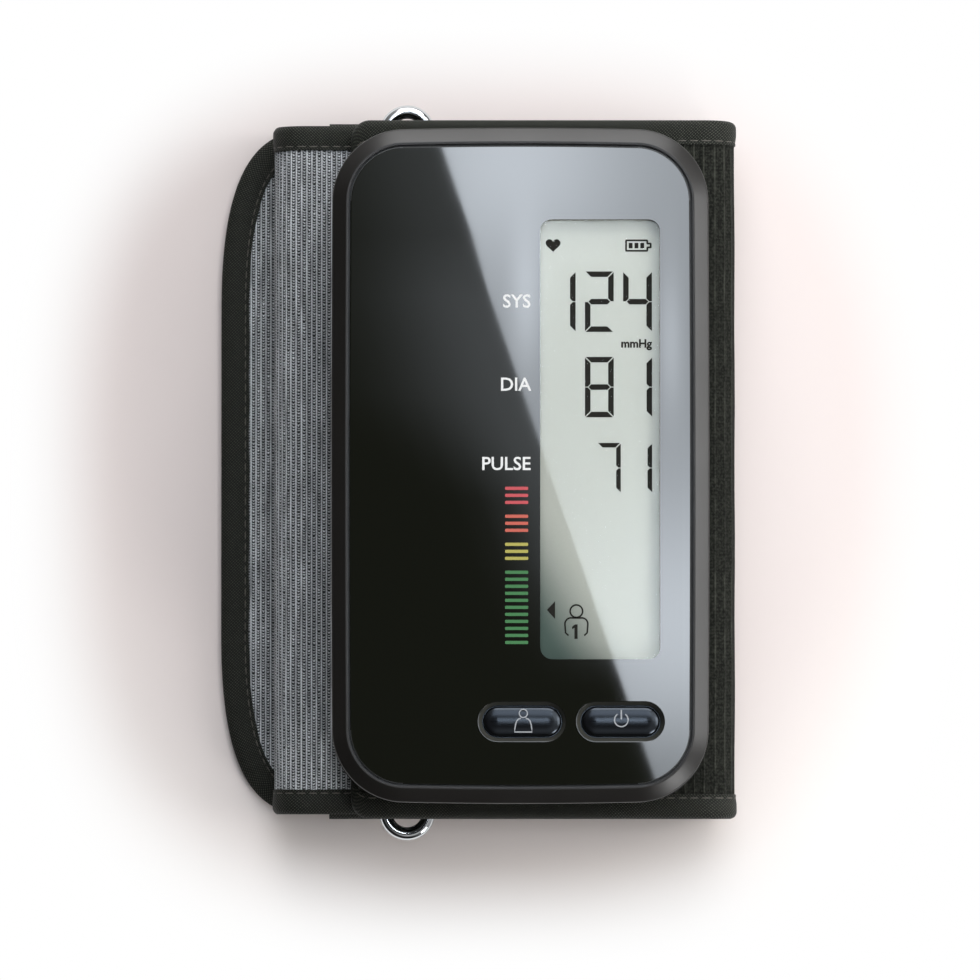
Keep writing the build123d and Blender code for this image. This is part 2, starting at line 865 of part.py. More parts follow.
def metal_ring():
    """Oblong ring of wire, drawn with flats, that the tongue is threaded through."""
    section = RegularPolygon(wire_radius, wire_sides)
    run = ring_length - ring_width
    pieces = []
    for side in (-1, 1):
        bar = side_view(Pos(ring_x + side * ring_bar, z_ring) * section,
                        (ring_y - run / 2, ring_y + run / 2))
        bend = revolve(Plane.XZ * Pos(ring_bar, 0) * section, Axis.Z, 180)
        turn = 0 if side > 0 else 180
        pieces += [bar, Pos(ring_x, ring_y + side * run / 2, z_ring) * Rot(0, 0, turn) * bend]
    return fused(pieces)


def ring_webbing():
    """Webbing looped round the ring's bar and sewn under the base panel."""
    bar = Pos(ring_x + ring_bar, z_ring)
    hold = wire_radius + ring_gap
    under = z_base - pocket_reach - ring_gap
    tab = Pos(webbing_end - webbing, under - webbing) * Rectangle(2 * webbing, 2 * webbing)
    outer = make_hull((bar * Circle(hold + webbing)).edges() + tab.edges())
    slit = Pos(webbing_end - 3 * webbing, under - webbing) * Circle(ply_gap)
    inner = make_hull((bar * Circle(hold)).edges() + slit.edges())
    return side_view(outer - inner, (ring_y - webbing_width / 2, ring_y + webbing_width / 2))


# ---------------------------------------------------------------- the object
def make_nodes():
    """Every node by name."""
    made = {
        "front_housing": front_housing(),
        "rear_cover": rear_cover(),
        "face_panel": face_panel(),
        "display_pane": display_pane(),
        "lcd_glass": lcd_glass(),
        "lcd_reflector": reflector(),
        "display_holder": display_holder(),
        "contact_strips": contact_strips(),
        "main_board": main_board(),
        "board_chips": board_chips(),
        "pressure_sensor": pressure_sensor(),
        "tact_switches": tact_switches(),
        "charging_socket": charging_socket(),
        "housing_screws": housing_screws(),
        "battery_cell": cell(),
        "pump_motor": pump_motor(),
        "pump_head": pump_head(),
        "release_valve": release_valve(),
        "air_manifold": air_manifold(),
        "air_hoses": hoses(),
        "port_seal": port_seal(),
        "air_port": air_port(),
        "mounting_plate": mounting_plate(),
        "metal_ring": metal_ring(),
        "ring_webbing": ring_webbing(),
        "bladder": bladder(),
        "pocket_cloth": pocket_cloth(),
        "pocket_lining": pocket_lining(),
        "pocket_binding": pocket_binding(),
        "tongue_root_cloth": tongue_cloth(root_path),
        "tongue_root_lining": tongue_lining(root_path),
        "tongue_root_binding": tongue_binding(root_path),
        "tongue_left_fold": tongue_fold(left_fold_path),
        "tongue_middle_cloth": tongue_cloth(middle_path),
        "tongue_middle_lining": tongue_lining(middle_path),
        "tongue_middle_binding": tongue_binding(middle_path),
        "tongue_right_fold": tongue_fold(end_fold_path),
        "tongue_end_cloth": tip_ply(-tongue_half, -ply_gap / 2),
        "tongue_end_lining": tip_ply(ply_gap / 2, tongue_half),
        "tongue_end_binding": tip_binding(),
        "hook_patch_middle": hook_patch_middle(),
        "hook_patch_end": hook_patch_end(),
    }
    for name, x in buttons.items():
        made[name] = button(x)
    return made


os.makedirs("parts", exist_ok=True)
for name, shape in make_nodes().items():
    export_step(Pos(-origin_x, -origin_y, 0) * shape, f"parts/{name}.step")
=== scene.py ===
"""Arm-in blood pressure monitor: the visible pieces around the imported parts.

Lengths inside the functions are millimetres, measured from the middle of the housing
and up from the surface that the monitor rests on. put_mesh turns them into metres.
"""
import math

import bmesh
import bpy
import numpy as np
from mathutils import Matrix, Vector
from mathutils.geometry import tessellate_polygon


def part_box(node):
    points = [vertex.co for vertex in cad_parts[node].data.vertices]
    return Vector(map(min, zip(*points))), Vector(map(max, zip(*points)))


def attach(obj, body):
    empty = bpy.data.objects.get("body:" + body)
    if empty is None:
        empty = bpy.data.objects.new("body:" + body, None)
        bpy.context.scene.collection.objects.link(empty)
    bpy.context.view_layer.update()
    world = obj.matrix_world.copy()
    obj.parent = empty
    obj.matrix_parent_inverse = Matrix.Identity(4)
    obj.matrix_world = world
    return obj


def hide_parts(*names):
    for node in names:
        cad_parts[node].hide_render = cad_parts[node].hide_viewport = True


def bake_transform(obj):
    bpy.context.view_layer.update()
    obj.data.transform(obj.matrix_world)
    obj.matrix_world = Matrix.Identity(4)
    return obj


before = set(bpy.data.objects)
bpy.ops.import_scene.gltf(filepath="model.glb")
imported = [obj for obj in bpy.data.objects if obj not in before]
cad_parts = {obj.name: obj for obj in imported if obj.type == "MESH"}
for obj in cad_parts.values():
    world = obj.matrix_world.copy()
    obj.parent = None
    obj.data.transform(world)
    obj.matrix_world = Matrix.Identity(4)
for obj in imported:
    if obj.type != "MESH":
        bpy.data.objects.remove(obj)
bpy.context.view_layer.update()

bl_info = {
    "name": "Arm-in Blood Pressure Monitor",
    "version": (1, 0, 0),
    "blender": (4, 5, 0),
    "location": "3D View > Sidebar > Monitor",
    "description": "Builds the housing, display, buttons, folded cuff and ring of the monitor",
    "category": "Object",
}

MM = 0.001


def linear(colour):
    """Linear RGB of a hex colour such as "#AABBCC", by the sRGB curve."""
    channels = [int(colour[i:i + 2], 16) / 255 for i in (1, 3, 5)]
    return tuple(c / 12.92 if c <= 0.04045 else ((c + 0.055) / 1.055) ** 2.4 for c in channels)


# ---------------------------------------------------------------- places read from the frame
def corners(node):
    """Lowest and highest corners of a node, in millimetres from the housing's middle."""
    low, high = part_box(node)
    return np.array(low) / MM - MIDDLE, np.array(high) / MM - MIDDLE


_low, _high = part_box("front_housing")
MIDDLE = np.array([(_low[0] + _high[0]) / 2, (_low[1] + _high[1]) / 2, 0.0]) / MM

housing_low, housing_high = corners("front_housing")
panel_low, panel_high = corners("face_panel")
pane_low, pane_high = corners("display_pane")
lcd_high = corners("lcd_glass")[1]
ring_low, ring_high = corners("metal_ring")
pocket_low, pocket_high = corners("pocket_binding")
left_fold_low, left_fold_high = corners("tongue_left_fold")
right_fold_high = corners("tongue_right_fold")[1]
end_low, end_high = corners("tongue_end_binding")

POCKET_HALF = 1.2       # half the thickness of two cloths and the bladder between them
POCKET_REACH = 1.6      # the same with the binding tape over it
TONGUE_HALF = 0.65
TONGUE_REACH = 1.05
BINDING_WIDTH = 5.2
END_WIDTH = 5.9         # the same round the tongue's end
SEAM_IN = 0.8           # from the tape's inner edge to its stitching
CLOTH_IN = 0.8          # from the fold of the tape to the cloth's edge
WIRE_RADIUS = (ring_high[2] - ring_low[2]) / 2

TOP = panel_high[2]
SEAM = housing_low[2]
Z_BASE = pocket_high[2] - POCKET_REACH
Z_UNDER = pocket_low[2] + POCKET_REACH
Z_TOP_LAYER = left_fold_high[2] - TONGUE_REACH
Z_MIDDLE = left_fold_low[2] + TONGUE_REACH
Z_END = end_low[2] + TONGUE_REACH
Z_RING = (ring_low[2] + ring_high[2]) / 2
Z_INNER = 2 * Z_RING - Z_TOP_LAYER
RADIUS_RIGHT = (Z_BASE - Z_UNDER) / 2
RADIUS_LEFT = (Z_TOP_LAYER - Z_MIDDLE) / 2
RADIUS_INNER = (Z_INNER - Z_UNDER) / 2
RADIUS_RING = (Z_TOP_LAYER - Z_INNER) / 2
RADIUS_END = (Z_MIDDLE - Z_END) / 2
X_RIGHT = pocket_high[0] - POCKET_REACH - RADIUS_RIGHT
X_LEFT = left_fold_low[0] + TONGUE_REACH + RADIUS_LEFT
X_END = right_fold_high[0] - TONGUE_REACH - RADIUS_END
X_BAR = ring_low[0] + WIRE_RADIUS
POCKET_END = corners("pocket_lining")[0][0]
PANEL_LEFT = -35.3
TIP_LEFT = end_low[0]
HALF_POCKET = pocket_high[1]
HALF_TONGUE = end_high[1]


# ---------------------------------------------------------------- sizes and colours
def length(name, text, default):
    """A length that a user may change, given in millimetres."""
    return bpy.props.FloatProperty(name=name, description=text, default=default * MM,
                                   min=0, precision=5, subtype="DISTANCE", unit="LENGTH")


def colour(name, text, default):
    """A colour that a user may change, given as sRGB hex."""
    return bpy.props.FloatVectorProperty(name=name, description=text, subtype="COLOR",
                                         size=3, min=0, max=1, default=linear(default))


class CaseSettings(bpy.types.PropertyGroup):
    """Finish of the moulded housing, the gloss panel and the display."""

    plastic: colour("Housing plastic", "Dyed ABS of the housing", "#1D1B19")
    gloss: colour("Gloss panel", "Black lacquer behind the clear face", "#151611")
    display: colour("Display", "Reflective display ground", "#B1B1AA")
    digits: colour("Digits", "Display segments", "#24221F")
    ink: colour("Print", "White ink on the panel", "#E6E6E4")
    edge_radius: length("Edge radius", "Rounding of the rim's inner edge", 0.12)
    dish_radius: length("Dish radius", "Rounding of the button dishes' rims", 0.10)


class CuffSettings(bpy.types.PropertyGroup):
    """Cloth, tape and stitching of the folded cuff."""

    lining: colour("Lining", "Light yarn of the ribbed lining", "#F2F5F8")
    lining_dark: colour("Lining shade", "Dark yarn of the ribbed lining", "#161819")
    cloth: colour("Outer cloth", "Dyed outer cloth", "#0D0E0B")
    tape: colour("Binding tape", "Twill tape over the edges", "#10120E")
    thread: colour("Thread", "Sewing thread", "#5D5952")
    rib_pitch: length("Lining rib pitch", "Distance between the lining's ribs", 1.04)
    cloth_pitch: length("Cloth rib pitch", "Distance between the outer cloth's ribs", 2.0)
    stitch_pitch: length("Stitch pitch", "Distance from stitch to stitch", 2.4)


class StageSettings(bpy.types.PropertyGroup):
    """Floor, light and camera."""

    # painted shade: the floor's tint near the monitor, darker than the paper farther out
    floor: colour("Floor", "Pale surface under the monitor", "#EDE2DE")
    dome: bpy.props.FloatProperty(name="Dome", description="Strength of the soft light all round",
                                  default=0.55, min=0)
    distance: bpy.props.FloatProperty(name="Camera distance", description="From the face panel",
                                      default=2.0, min=0.1, unit="LENGTH")
    lens: bpy.props.FloatProperty(name="Focal length", description="In millimetres",
                                  default=355.6, min=1)


def case():
    """The housing's settings."""
    return bpy.context.scene.monitor_case


def cuff():
    """The cuff's settings."""
    return bpy.context.scene.monitor_cuff


def studio():
    """The floor's, light's and camera's settings."""
    return bpy.context.scene.monitor_stage


# ---------------------------------------------------------------- meshes
def put_mesh(name, points, faces, finishes, body=None, face_finish=None, marks=None,
             sharp=40):
    """Mesh object at the origin from millimetre points; finishes are its materials.

    face_finish holds a material index for each face, marks an (n, 3) array kept as the
    point attribute cloth_mm, and sharp the angle past which an edge stays crisp.
    """
    mesh = bpy.data.meshes.new(name)
    places = (np.asarray(points, dtype=float) + MIDDLE) * MM
    mesh.from_pydata(places.tolist(), [], [list(map(int, face)) for face in faces])
    for finish in finishes:
        mesh.materials.append(finish)
    if face_finish is not None:
        mesh.polygons.foreach_set("material_index", np.asarray(face_finish, dtype=np.int32))
    if marks is not None:
        layer = mesh.attributes.new("cloth_mm", "FLOAT_VECTOR", "POINT")
        layer.data.foreach_set("vector", np.asarray(marks, dtype=np.float32).ravel())
    mesh.shade_smooth()
    mesh.set_sharp_from_angle(angle=math.radians(sharp))
    mesh.validate()
    mesh.update()
    piece = bpy.data.objects.new(name, mesh)
    bpy.context.scene.collection.objects.link(piece)
    if body:
        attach(piece, body)
    return piece


def turned_out(points, faces):
    """The faces, reversed if the volume they close is negative.

    The volume is the sum over triangles of a . (b x c) / 6, each face fanned from its
    first corner.
    """
    total = 0.0
    for count in {len(face) for face in faces}:
        group = np.array([face for face in faces if len(face) == count])
        first = points[group[:, 0]]
        for k in range(1, count - 1):
            total += np.einsum("ij,ij->", first,
                               np.cross(points[group[:, k]], points[group[:, k + 1]]))
    return faces if total > 0 else [list(face)[::-1] for face in faces]


def grid(rows, columns, around=False, along=False):
    """Quads of a rows by columns grid; around joins the last column to the first."""
    i = np.arange(rows if along else rows - 1)[:, None]
    j = np.arange(columns if around else columns - 1)[None, :]
    i_next = (i + 1) % rows
    j_next = (j + 1) % columns
    quads = np.stack([i * columns + j, i * columns + j_next,
                      i_next * columns + j_next, i_next * columns + j], axis=-1)
    return quads.reshape(-1, 4).tolist()


def cap_quads(count):
    """Quads that close a section of count points, its first half facing its second."""
    k = np.arange(count // 2 - 1)
    return np.stack([k, k + 1, count - 2 - k, count - 1 - k], axis=1)


def tube(rows, count):
    """Quads of a tube of rows by count points, its two ends closed."""
    cap = cap_quads(count)
    return (grid(rows, count, around=True) + cap[:, ::-1].tolist()
            + (cap + (rows - 1) * count).tolist())


def merged(parts):
    """Points and faces of several (points, faces) pairs put together."""
    points, faces, start = [], [], 0
    for part_points, part_faces in parts:
        points.append(part_points)
        faces.extend([[index + start for index in face] for face in part_faces])
        start += len(part_points)
    return np.concatenate(points), faces


def eased(corners_at, radii, steps=6):
    """A profile with its corners rounded.

    Each corner with radius r is replaced by points of the quadratic curve from r before
    it to r after it, which leaves straight runs as they are.
    """
    out = []
    count = len(corners_at)
    places = [np.array(c, dtype=float) for c in corners_at]
    for k, (here, radius) in enumerate(zip(places, radii)):
        if not radius:
            out.append(here)
            continue
        before = places[k - 1] - here
        after = places[(k + 1) % count] - here
        start = here + before * min(0.5, radius / np.linalg.norm(before))
        end = here + after * min(0.5, radius / np.linalg.norm(after))
        for t in np.linspace(0, 1, steps):
            out.append((1 - t) ** 2 * start + 2 * t * (1 - t) * here + t ** 2 * end)
    return np.array(out)


def plan_loop(half_x, half_y, radius, middle=(0, 0), turns=14, runs=12):
    """Rounded rectangle, counter-clockwise from its right side, and its outward normals.

    Each corner is a quarter circle of turns points, followed by runs points of a side.
    """
    inner = np.array([half_x - radius, half_y - radius])
    signs = ((1, 1), (-1, 1), (-1, -1), (1, -1))
    pieces = []
    for quarter in range(4):
        angle = np.linspace(0, np.pi / 2, turns) + quarter * np.pi / 2
        turn = signs[quarter] * inner + radius * np.stack([np.cos(angle), np.sin(angle)], axis=1)
        ahead = (quarter + 1) * math.pi / 2
        following = signs[(quarter + 1) % 4] * inner + radius * np.array(
            [math.cos(ahead), math.sin(ahead)])
        t = np.linspace(0, 1, runs + 2)[1:-1, None]
        pieces += [turn, turn[-1] * (1 - t) + following * t]
    loop = np.concatenate(pieces)
    return loop + np.array(middle), outward(loop)


def outward(loop):
    """Unit normals of a closed plan loop, to the right of the way it runs."""
    ahead = np.roll(loop, -1, axis=0) - np.roll(loop, 1, axis=0)
    normal = np.stack([ahead[:, 1], -ahead[:, 0]], axis=1)
    return normal / np.linalg.norm(normal, axis=1)[:, None]


def reversed_loop(loop, normal):
    """A hole's contour: its normals point out of the plate, into the hole."""
    return loop[::-1], -normal[::-1]


def carried(loop, normal, profile):
    """Rows of points: a closed plan loop drawn in by each profile inset, at its height."""
    inset = profile[:, 0][:, None, None]
    flat = loop[None] - normal[None] * inset
    height = np.broadcast_to(profile[:, 1][:, None, None], flat.shape[:2] + (1,))
    return np.concatenate([flat, height], axis=2)


def band(loop, normal, profile, closed=False):
    """Points and quads of a profile carried round a plan loop."""
    rows = carried(loop, normal, profile)
    faces = grid(len(profile), len(loop), around=True, along=closed)
    return rows.reshape(-1, 3), faces


def plate(contours):
    """A closed plate from an outer contour and holes.

    contours holds (loop, normal, profile); each profile runs from the bottom face to the
    top one. The bottom and the top are filled between the profiles' first and last rows.
    """
    parts = [band(*contour) for contour in contours]
    points, faces = merged(parts)
    start = 0
    bottoms, tops = [], []
    for (loop, *_), (part, _) in zip(contours, parts):
        bottoms.append(np.arange(start, start + len(loop)))
        tops.append(np.arange(start + len(part) - len(loop), start + len(part)))
        start += len(part)
    for rims in (bottoms, tops):
        index = np.concatenate(rims)
        rings = [[(*points[i][:2], 0.0) for i in rim] for rim in rims]
        faces.extend([[int(index[c]) for c in triangle] for triangle in tessellate_polygon(rings)])
    return points, faces


def matched(points, faces):
    """Faces turned so that neighbours agree and the whole points outwards."""
    work = bmesh.new()
    verts = [work.verts.new(p) for p in points]
    for face in faces:
        try:
            work.faces.new([verts[i] for i in face])
        except ValueError:
            continue
    bmesh.ops.remove_doubles(work, verts=work.verts, dist=1e-4)
    bmesh.ops.recalc_face_normals(work, faces=work.faces)
    work.verts.index_update()
    out_points = np.array([v.co[:] for v in work.verts])
    out_faces = [[v.index for v in face.verts] for face in work.faces]
    work.free()
    return out_points, turned_out(out_points, out_faces)


# ---------------------------------------------------------------- cloth carried along folds
def travel(start, heading, moves):
    """Centre line of folded cloth in the XZ plane, from straight runs and turns.

    A move is (distance, step) or (radius, turn in degrees, step). On a turn the point is
    centre + side radius (sin a, -cos a), a being the heading there. Returns the points,
    the normals to the left of the heading, and the distance along.
    """
    x, z = start
    total = 0.0
    points, normals, distances = [], [], []
    for move in moves:
        step = move[-1]
        if len(move) == 3:
            radius, turn = move[:2]
            side = 1 if turn > 0 else -1
            run = radius * math.radians(abs(turn))
            t = np.linspace(0, 1, max(4, round(run / step)) + 1)
            a = np.radians(heading + turn * t)
            centre = (x - side * radius * math.sin(math.radians(heading)),
                      z + side * radius * math.cos(math.radians(heading)))
            place = np.stack([centre[0] + side * radius * np.sin(a),
                              centre[1] - side * radius * np.cos(a)], axis=1)
            heading += turn
        else:
            run = move[0]
            t = np.linspace(0, 1, max(1, round(run / step)) + 1)
            a = np.full_like(t, math.radians(heading))
            place = np.stack([x + run * t * np.cos(a), z + run * t * np.sin(a)], axis=1)
        first = 1 if points else 0
        points.append(place[first:])
        normals.append(np.stack([-np.sin(a), np.cos(a)], axis=1)[first:])
        distances.append((total + run * t)[first:])
        x, z = place[-1]
        total += run
    return np.concatenate(points), np.concatenate(normals), np.concatenate(distances)


def across(half, count=26):
    """Places across a strip, closer together near its edges: half sin(pi t / 2)."""
    return half * np.sin(np.linspace(-1, 1, count) * np.pi / 2)


def ribbed(s, pitch, depth, step_limit=0.36):
    """Height of ribs that run across the cloth, flattened where the rows are far apart."""
    step = np.gradient(s)
    fine = np.clip((step_limit - step) / 0.08, 0, 1)
    wave = 0.5 + 0.5 * np.cos(2 * np.pi * s / pitch)
    return depth * fine * (wave ** 1.5 - 0.4)


def cloth_strip(name, path, half_thick, edge, finishes, phase=0.0):
    """Two plies of cloth carried along a path, one closed shape.

    A point is path + w normal, at y = v. The upper face (w > 0) is the outer cloth with
    its wide ribs and the lower one the lining with its narrow ribs; both swell a little
    between the bound edges by 1 - (v / edge)^4. edge is the half width at each row.
    """
    points, normals, s = path
    s = s + phase
    base = across(1.0)
    v = base[None, :] * (edge - CLOTH_IN)[:, None]
    cloth_ribs = ribbed(s, cuff().cloth_pitch / MM, 0.10)[:, None]
    lining_ribs = ribbed(s, cuff().rib_pitch / MM, 0.09)[:, None]
    crown = 0.12 * (1 - base[None, :] ** 4)
    pucker = 0.07 * np.sin(2 * np.pi * s / 6.3)[:, None] * np.abs(base[None, :]) ** 6
    swing = 0.05 * np.sin(2 * np.pi * (v / 31 + s[:, None] / 47))
    upper = half_thick - 0.12 + crown + cloth_ribs + pucker + swing
    lower = -(half_thick - 0.12) - crown - lining_ribs + pucker + swing
    w = np.concatenate([upper, lower[:, ::-1]], axis=1)
    y = np.concatenate([v, v[:, ::-1]], axis=1)
    rows, count = y.shape
    place = np.stack([points[:, 0][:, None] + w * normals[:, 0][:, None], y,
                      points[:, 1][:, None] + w * normals[:, 1][:, None]], axis=-1)
    marks = np.stack([np.broadcast_to(s[:, None], y.shape), y, w], axis=-1)
    flat = place.reshape(-1, 3)
    faces = turned_out(flat, tube(rows, count))
    # the lining's columns take the second finish, the ends the first
    lined = np.zeros(len(faces), dtype=int)
    lined[:(rows - 1) * count] = np.tile(np.arange(count) >= count // 2 - 1, rows - 1)
    return put_mesh(name, flat, faces, finishes, face_finish=lined,
                    marks=marks.reshape(-1, 3), sharp=60)


def tape_section(reach, width):
    """Half section of binding tape: distance in from the edge and height, inner edge first.

    Flat by the stitching, swollen over the cloth's edge, and round at the fold.
    """
    u = np.array([width, width - 0.08, width - 0.45, width - 0.8, width - 1.2, 3.2, 2.4, 1.7,
                  1.15, 0.72, 0.38, 0.14, 0.02])
    puff = np.array([0.0, 0.22, 0.26, 0.17, 0.27, 0.37, 0.4, 0.39, 0.34, 0.16, -0.12, -0.5,
                     -0.85])
    rise = reach - 0.4
    height = np.where(puff >= 0, rise + puff, rise * (1 + puff))
    return u, np.maximum(height, 0.06 * reach)


def tape(edge, inward, up, s, reach, width=BINDING_WIDTH):
    """Twill tape folded over an edge: its half section and the mirrored one, carried along.

    A point is edge + u inward + w up. The dent at the stitching deepens at each stitch.
    """
    u, height = tape_section(reach, width)
    pitch = cuff().stitch_pitch / MM
    seam = np.exp(-((u - (width - SEAM_IN)) / 0.45) ** 2)
    dent = 0.06 * (0.5 + 0.5 * np.cos(2 * np.pi * s / pitch))[:, None] * seam[None, :]
    swell = 0.05 * np.sin(2 * np.pi * s / 9.1)[:, None] * np.exp(-((u - 2.2) / 1.3) ** 2)[None, :]
    top = height[None, :] - dent - np.abs(swell)
    w = np.concatenate([top, -top[:, ::-1]], axis=1)
    both = np.concatenate([u, u[::-1]])[None, :]
    uu = both + 0.05 * np.sin(2 * np.pi * s / 13.7)[:, None] * both / width
    rows, count = w.shape
    place = (edge[:, None, :] + uu[..., None] * inward[:, None, :] + w[..., None] * up[:, None, :])
    marks = np.stack([np.broadcast_to(s[:, None], w.shape), uu, w], axis=-1)
    flat = place.reshape(-1, 3)
    return flat, turned_out(flat, tube(rows, count)), marks.reshape(-1, 3)


def stitching(edge, inward, up, s, reach, width=BINDING_WIDTH):
    """Rows of thread, sunk in the tape's dent: short round bars, thinner at their ends."""
    pitch = cuff().stitch_pitch / MM
    starts = np.arange(s[0] + 0.5 * pitch, s[-1] - pitch, pitch)
    around = np.linspace(0, 2 * np.pi, 7)[:-1]
    run = np.array([0.0, 0.12, 0.5, 0.88, 1.0])
    thick = np.array([0.05, 0.13, 0.16, 0.13, 0.05])
    parts = []

    def at(values, distance):
        """The line's values at distances along it."""
        return np.stack([np.interp(distance, s, values[:, c]) for c in range(3)], axis=-1)

    t = run[None, :]
    distance = starts[:, None] * (1 - t) + (starts + 0.72 * pitch)[:, None] * t
    for side in (1, -1):
        centre = (at(edge, distance) + (width - SEAM_IN) * at(inward, distance)
                  + side * (reach - 0.26) * at(up, distance))
        lift = np.cos(around)[None, None, :, None] * at(up, distance)[:, :, None, :]
        wide = np.sin(around)[None, None, :, None] * at(inward, distance)[:, :, None, :]
        place = centre[:, :, None, :] + thick[None, :, None, None] * (lift + wide)
        one = grid(len(run), len(around), around=True)
        one += [list(range(len(around)))[::-1],
                [len(around) * (len(run) - 1) + c for c in range(len(around))]]
        size = len(run) * len(around)
        flat = place.reshape(-1, 3)
        bar = turned_out(flat[:size], one)
        parts.append((flat, [[i + m * size for i in face]
                             for m in range(len(starts)) for face in bar]))
    return merged(parts)


def edge_of(path, half, side):
    """Edge line of a strip at y = side half, its inward and upward directions."""
    points, normals, s = path
    half = np.broadcast_to(half, s.shape)
    edge = np.stack([points[:, 0], side * half, points[:, 1]], axis=1)
    inward = np.zeros_like(edge)
    inward[:, 1] = -side
    up = np.stack([normals[:, 0], np.zeros_like(s), normals[:, 1]], axis=1)
    return edge, inward, up, s


def bound(name, path, half, reach, finish, thread):
    """Tape and stitching along both long edges of a strip, as two pieces."""
    tapes, threads, marks = [], [], []
    for side in (1, -1):
        rim = edge_of(path, half, side)
        flat, faces, mark = tape(*rim, reach)
        tapes.append((flat, faces))
        marks.append(mark)
        threads.append(stitching(*rim, reach))
    hem_points, hem_faces = merged(tapes)
    hem = put_mesh(name + "_tape", hem_points, hem_faces, [finish],
                   marks=np.concatenate(marks), sharp=60)
    thread_points, thread_faces = merged(threads)
    seam = put_mesh(name + "_stitches", thread_points, thread_faces, [thread])
    return hem, seam


# ---------------------------------------------------------------- finishes
def add(tree, kind, inputs=None, **settings):
    """A node with its settings; an input is a value, or a socket that is linked to it."""
    node = tree.nodes.new(kind)
    for key, value in settings.items():
        setattr(node, key, value)
    for key, value in (inputs or {}).items():
        if isinstance(value, bpy.types.NodeSocket):
            tree.links.new(value, node.inputs[key])
        else:
            node.inputs[key].default_value = value
    return node


def calc(tree, operation, a, b=0.0, clamp=False):
    """The socket of a sum, product or other operation on two values."""
    return add(tree, "ShaderNodeMath", {0: a, 1: b}, operation=operation,
               use_clamp=clamp).outputs[0]


def times(tree, first, *others):
    """The product of two or more values."""
    for other in others:
        first = calc(tree, "MULTIPLY", first, other)
    return first


def ranged(tree, value, start, end, low=0.0, high=1.0, smooth=False):
    """A value carried from between start and end to between low and high."""
    return add(tree, "ShaderNodeMapRange",
               {"Value": value, "From Min": start, "From Max": end, "To Min": low,
                "To Max": high},
               interpolation_type="SMOOTHSTEP" if smooth else "LINEAR").outputs[0]


def rgba(value):
    """A colour with full alpha."""
    return (*value[:3], 1.0)


def blank(name):
    """A new material and its empty tree."""
    finish = bpy.data.materials.new(name)
    finish.use_nodes = True
    finish.node_tree.nodes.clear()
    return finish, finish.node_tree


def shell(tree, inputs, relief=None, depth=0.1, strength=1.0):
    """Principled surface with an optional relief, its depth in millimetres."""
    surface = add(tree, "ShaderNodeBsdfPrincipled", inputs)
    if relief is not None:
        bump = add(tree, "ShaderNodeBump", {"Height": relief, "Distance": depth * MM,
                                            "Strength": strength})
        tree.links.new(bump.outputs[0], surface.inputs["Normal"])
    add(tree, "ShaderNodeOutputMaterial", {"Surface": surface.outputs[0]})
    return surface


def place(tree):
    """Object coordinates."""
    return add(tree, "ShaderNodeTexCoord").outputs["Object"]


def grains(tree, size, detail=2.0, where=None):
    """Noise with features of a size in millimetres."""
    return add(tree, "ShaderNodeTexNoise", {"Vector": where or place(tree),
                                            "Scale": 1 / (size * MM), "Detail": detail}).outputs[0]


def uneven(tree, size, low, high):
    """Noise of a size in millimetres, between two values."""
    return ranged(tree, grains(tree, size), 0, 1, low, high)


def blend_colours(tree, factor, low, high):
    """The colour between two, by a factor."""
    mix = add(tree, "ShaderNodeMix", {"Factor": factor}, data_type="RGBA")
    for socket, value in ((mix.inputs["A"], low), (mix.inputs["B"], high)):
        socket.default_value = rgba(value)
    return mix.outputs["Result"]


def weave_marks(tree):
    """Distance along the cloth, across it and through it, in millimetres."""
    marks = add(tree, "ShaderNodeAttribute", attribute_name="cloth_mm")
    parts = add(tree, "ShaderNodeSeparateXYZ", {0: marks.outputs["Vector"]})
    return parts.outputs


def wave(tree, value, pitch):
    """0.5 + 0.5 cos(2 pi value / pitch)."""
    angle = times(tree, value, 2 * math.pi / pitch)
    return calc(tree, "ADD", times(tree, calc(tree, "COSINE", angle), 0.5), 0.5)


def textured_abs():
    """Injection-moulded ABS with a fine spark-eroded grain: a soft, broad sheen."""
    finish, tree = blank("moulded_abs")
    grain = grains(tree, 0.28)
    shell(tree, {"Base Color": rgba(case().plastic), "Roughness": uneven(tree, 9.0, 0.30, 0.38),
                 "IOR": 1.53}, grain, 0.012)
    return finish


def lacquered_face():
    """Hard-coated PMMA, black-lacquered from behind: a sharp mirror over black."""
    finish, tree = blank("lacquered_acrylic")
    shell(tree, {"Base Color": rgba(case().gloss), "Roughness": uneven(tree, 14.0, 0.010, 0.020),
                 "IOR": 1.49}, grains(tree, 30.0, 0.0), 0.002)
    return finish


def clear_acrylic():
    """Clear coated PMMA pane: it passes nearly all the light."""
    finish, tree = blank("clear_acrylic")
    glass = add(tree, "ShaderNodeBsdfTransparent", {"Color": rgba(linear("#FDFEFD"))})
    gloss = add(tree, "ShaderNodeBsdfGlossy", {"Roughness": uneven(tree, 14.0, 0.02, 0.04)})
    mirror = add(tree, "ShaderNodeFresnel", {"IOR": 1.03})
    mix = add(tree, "ShaderNodeMixShader", {0: mirror.outputs[0], 1: glass.outputs[0],
                                            2: gloss.outputs[0]})
    add(tree, "ShaderNodeOutputMaterial", {"Surface": mix.outputs[0]})
    return finish


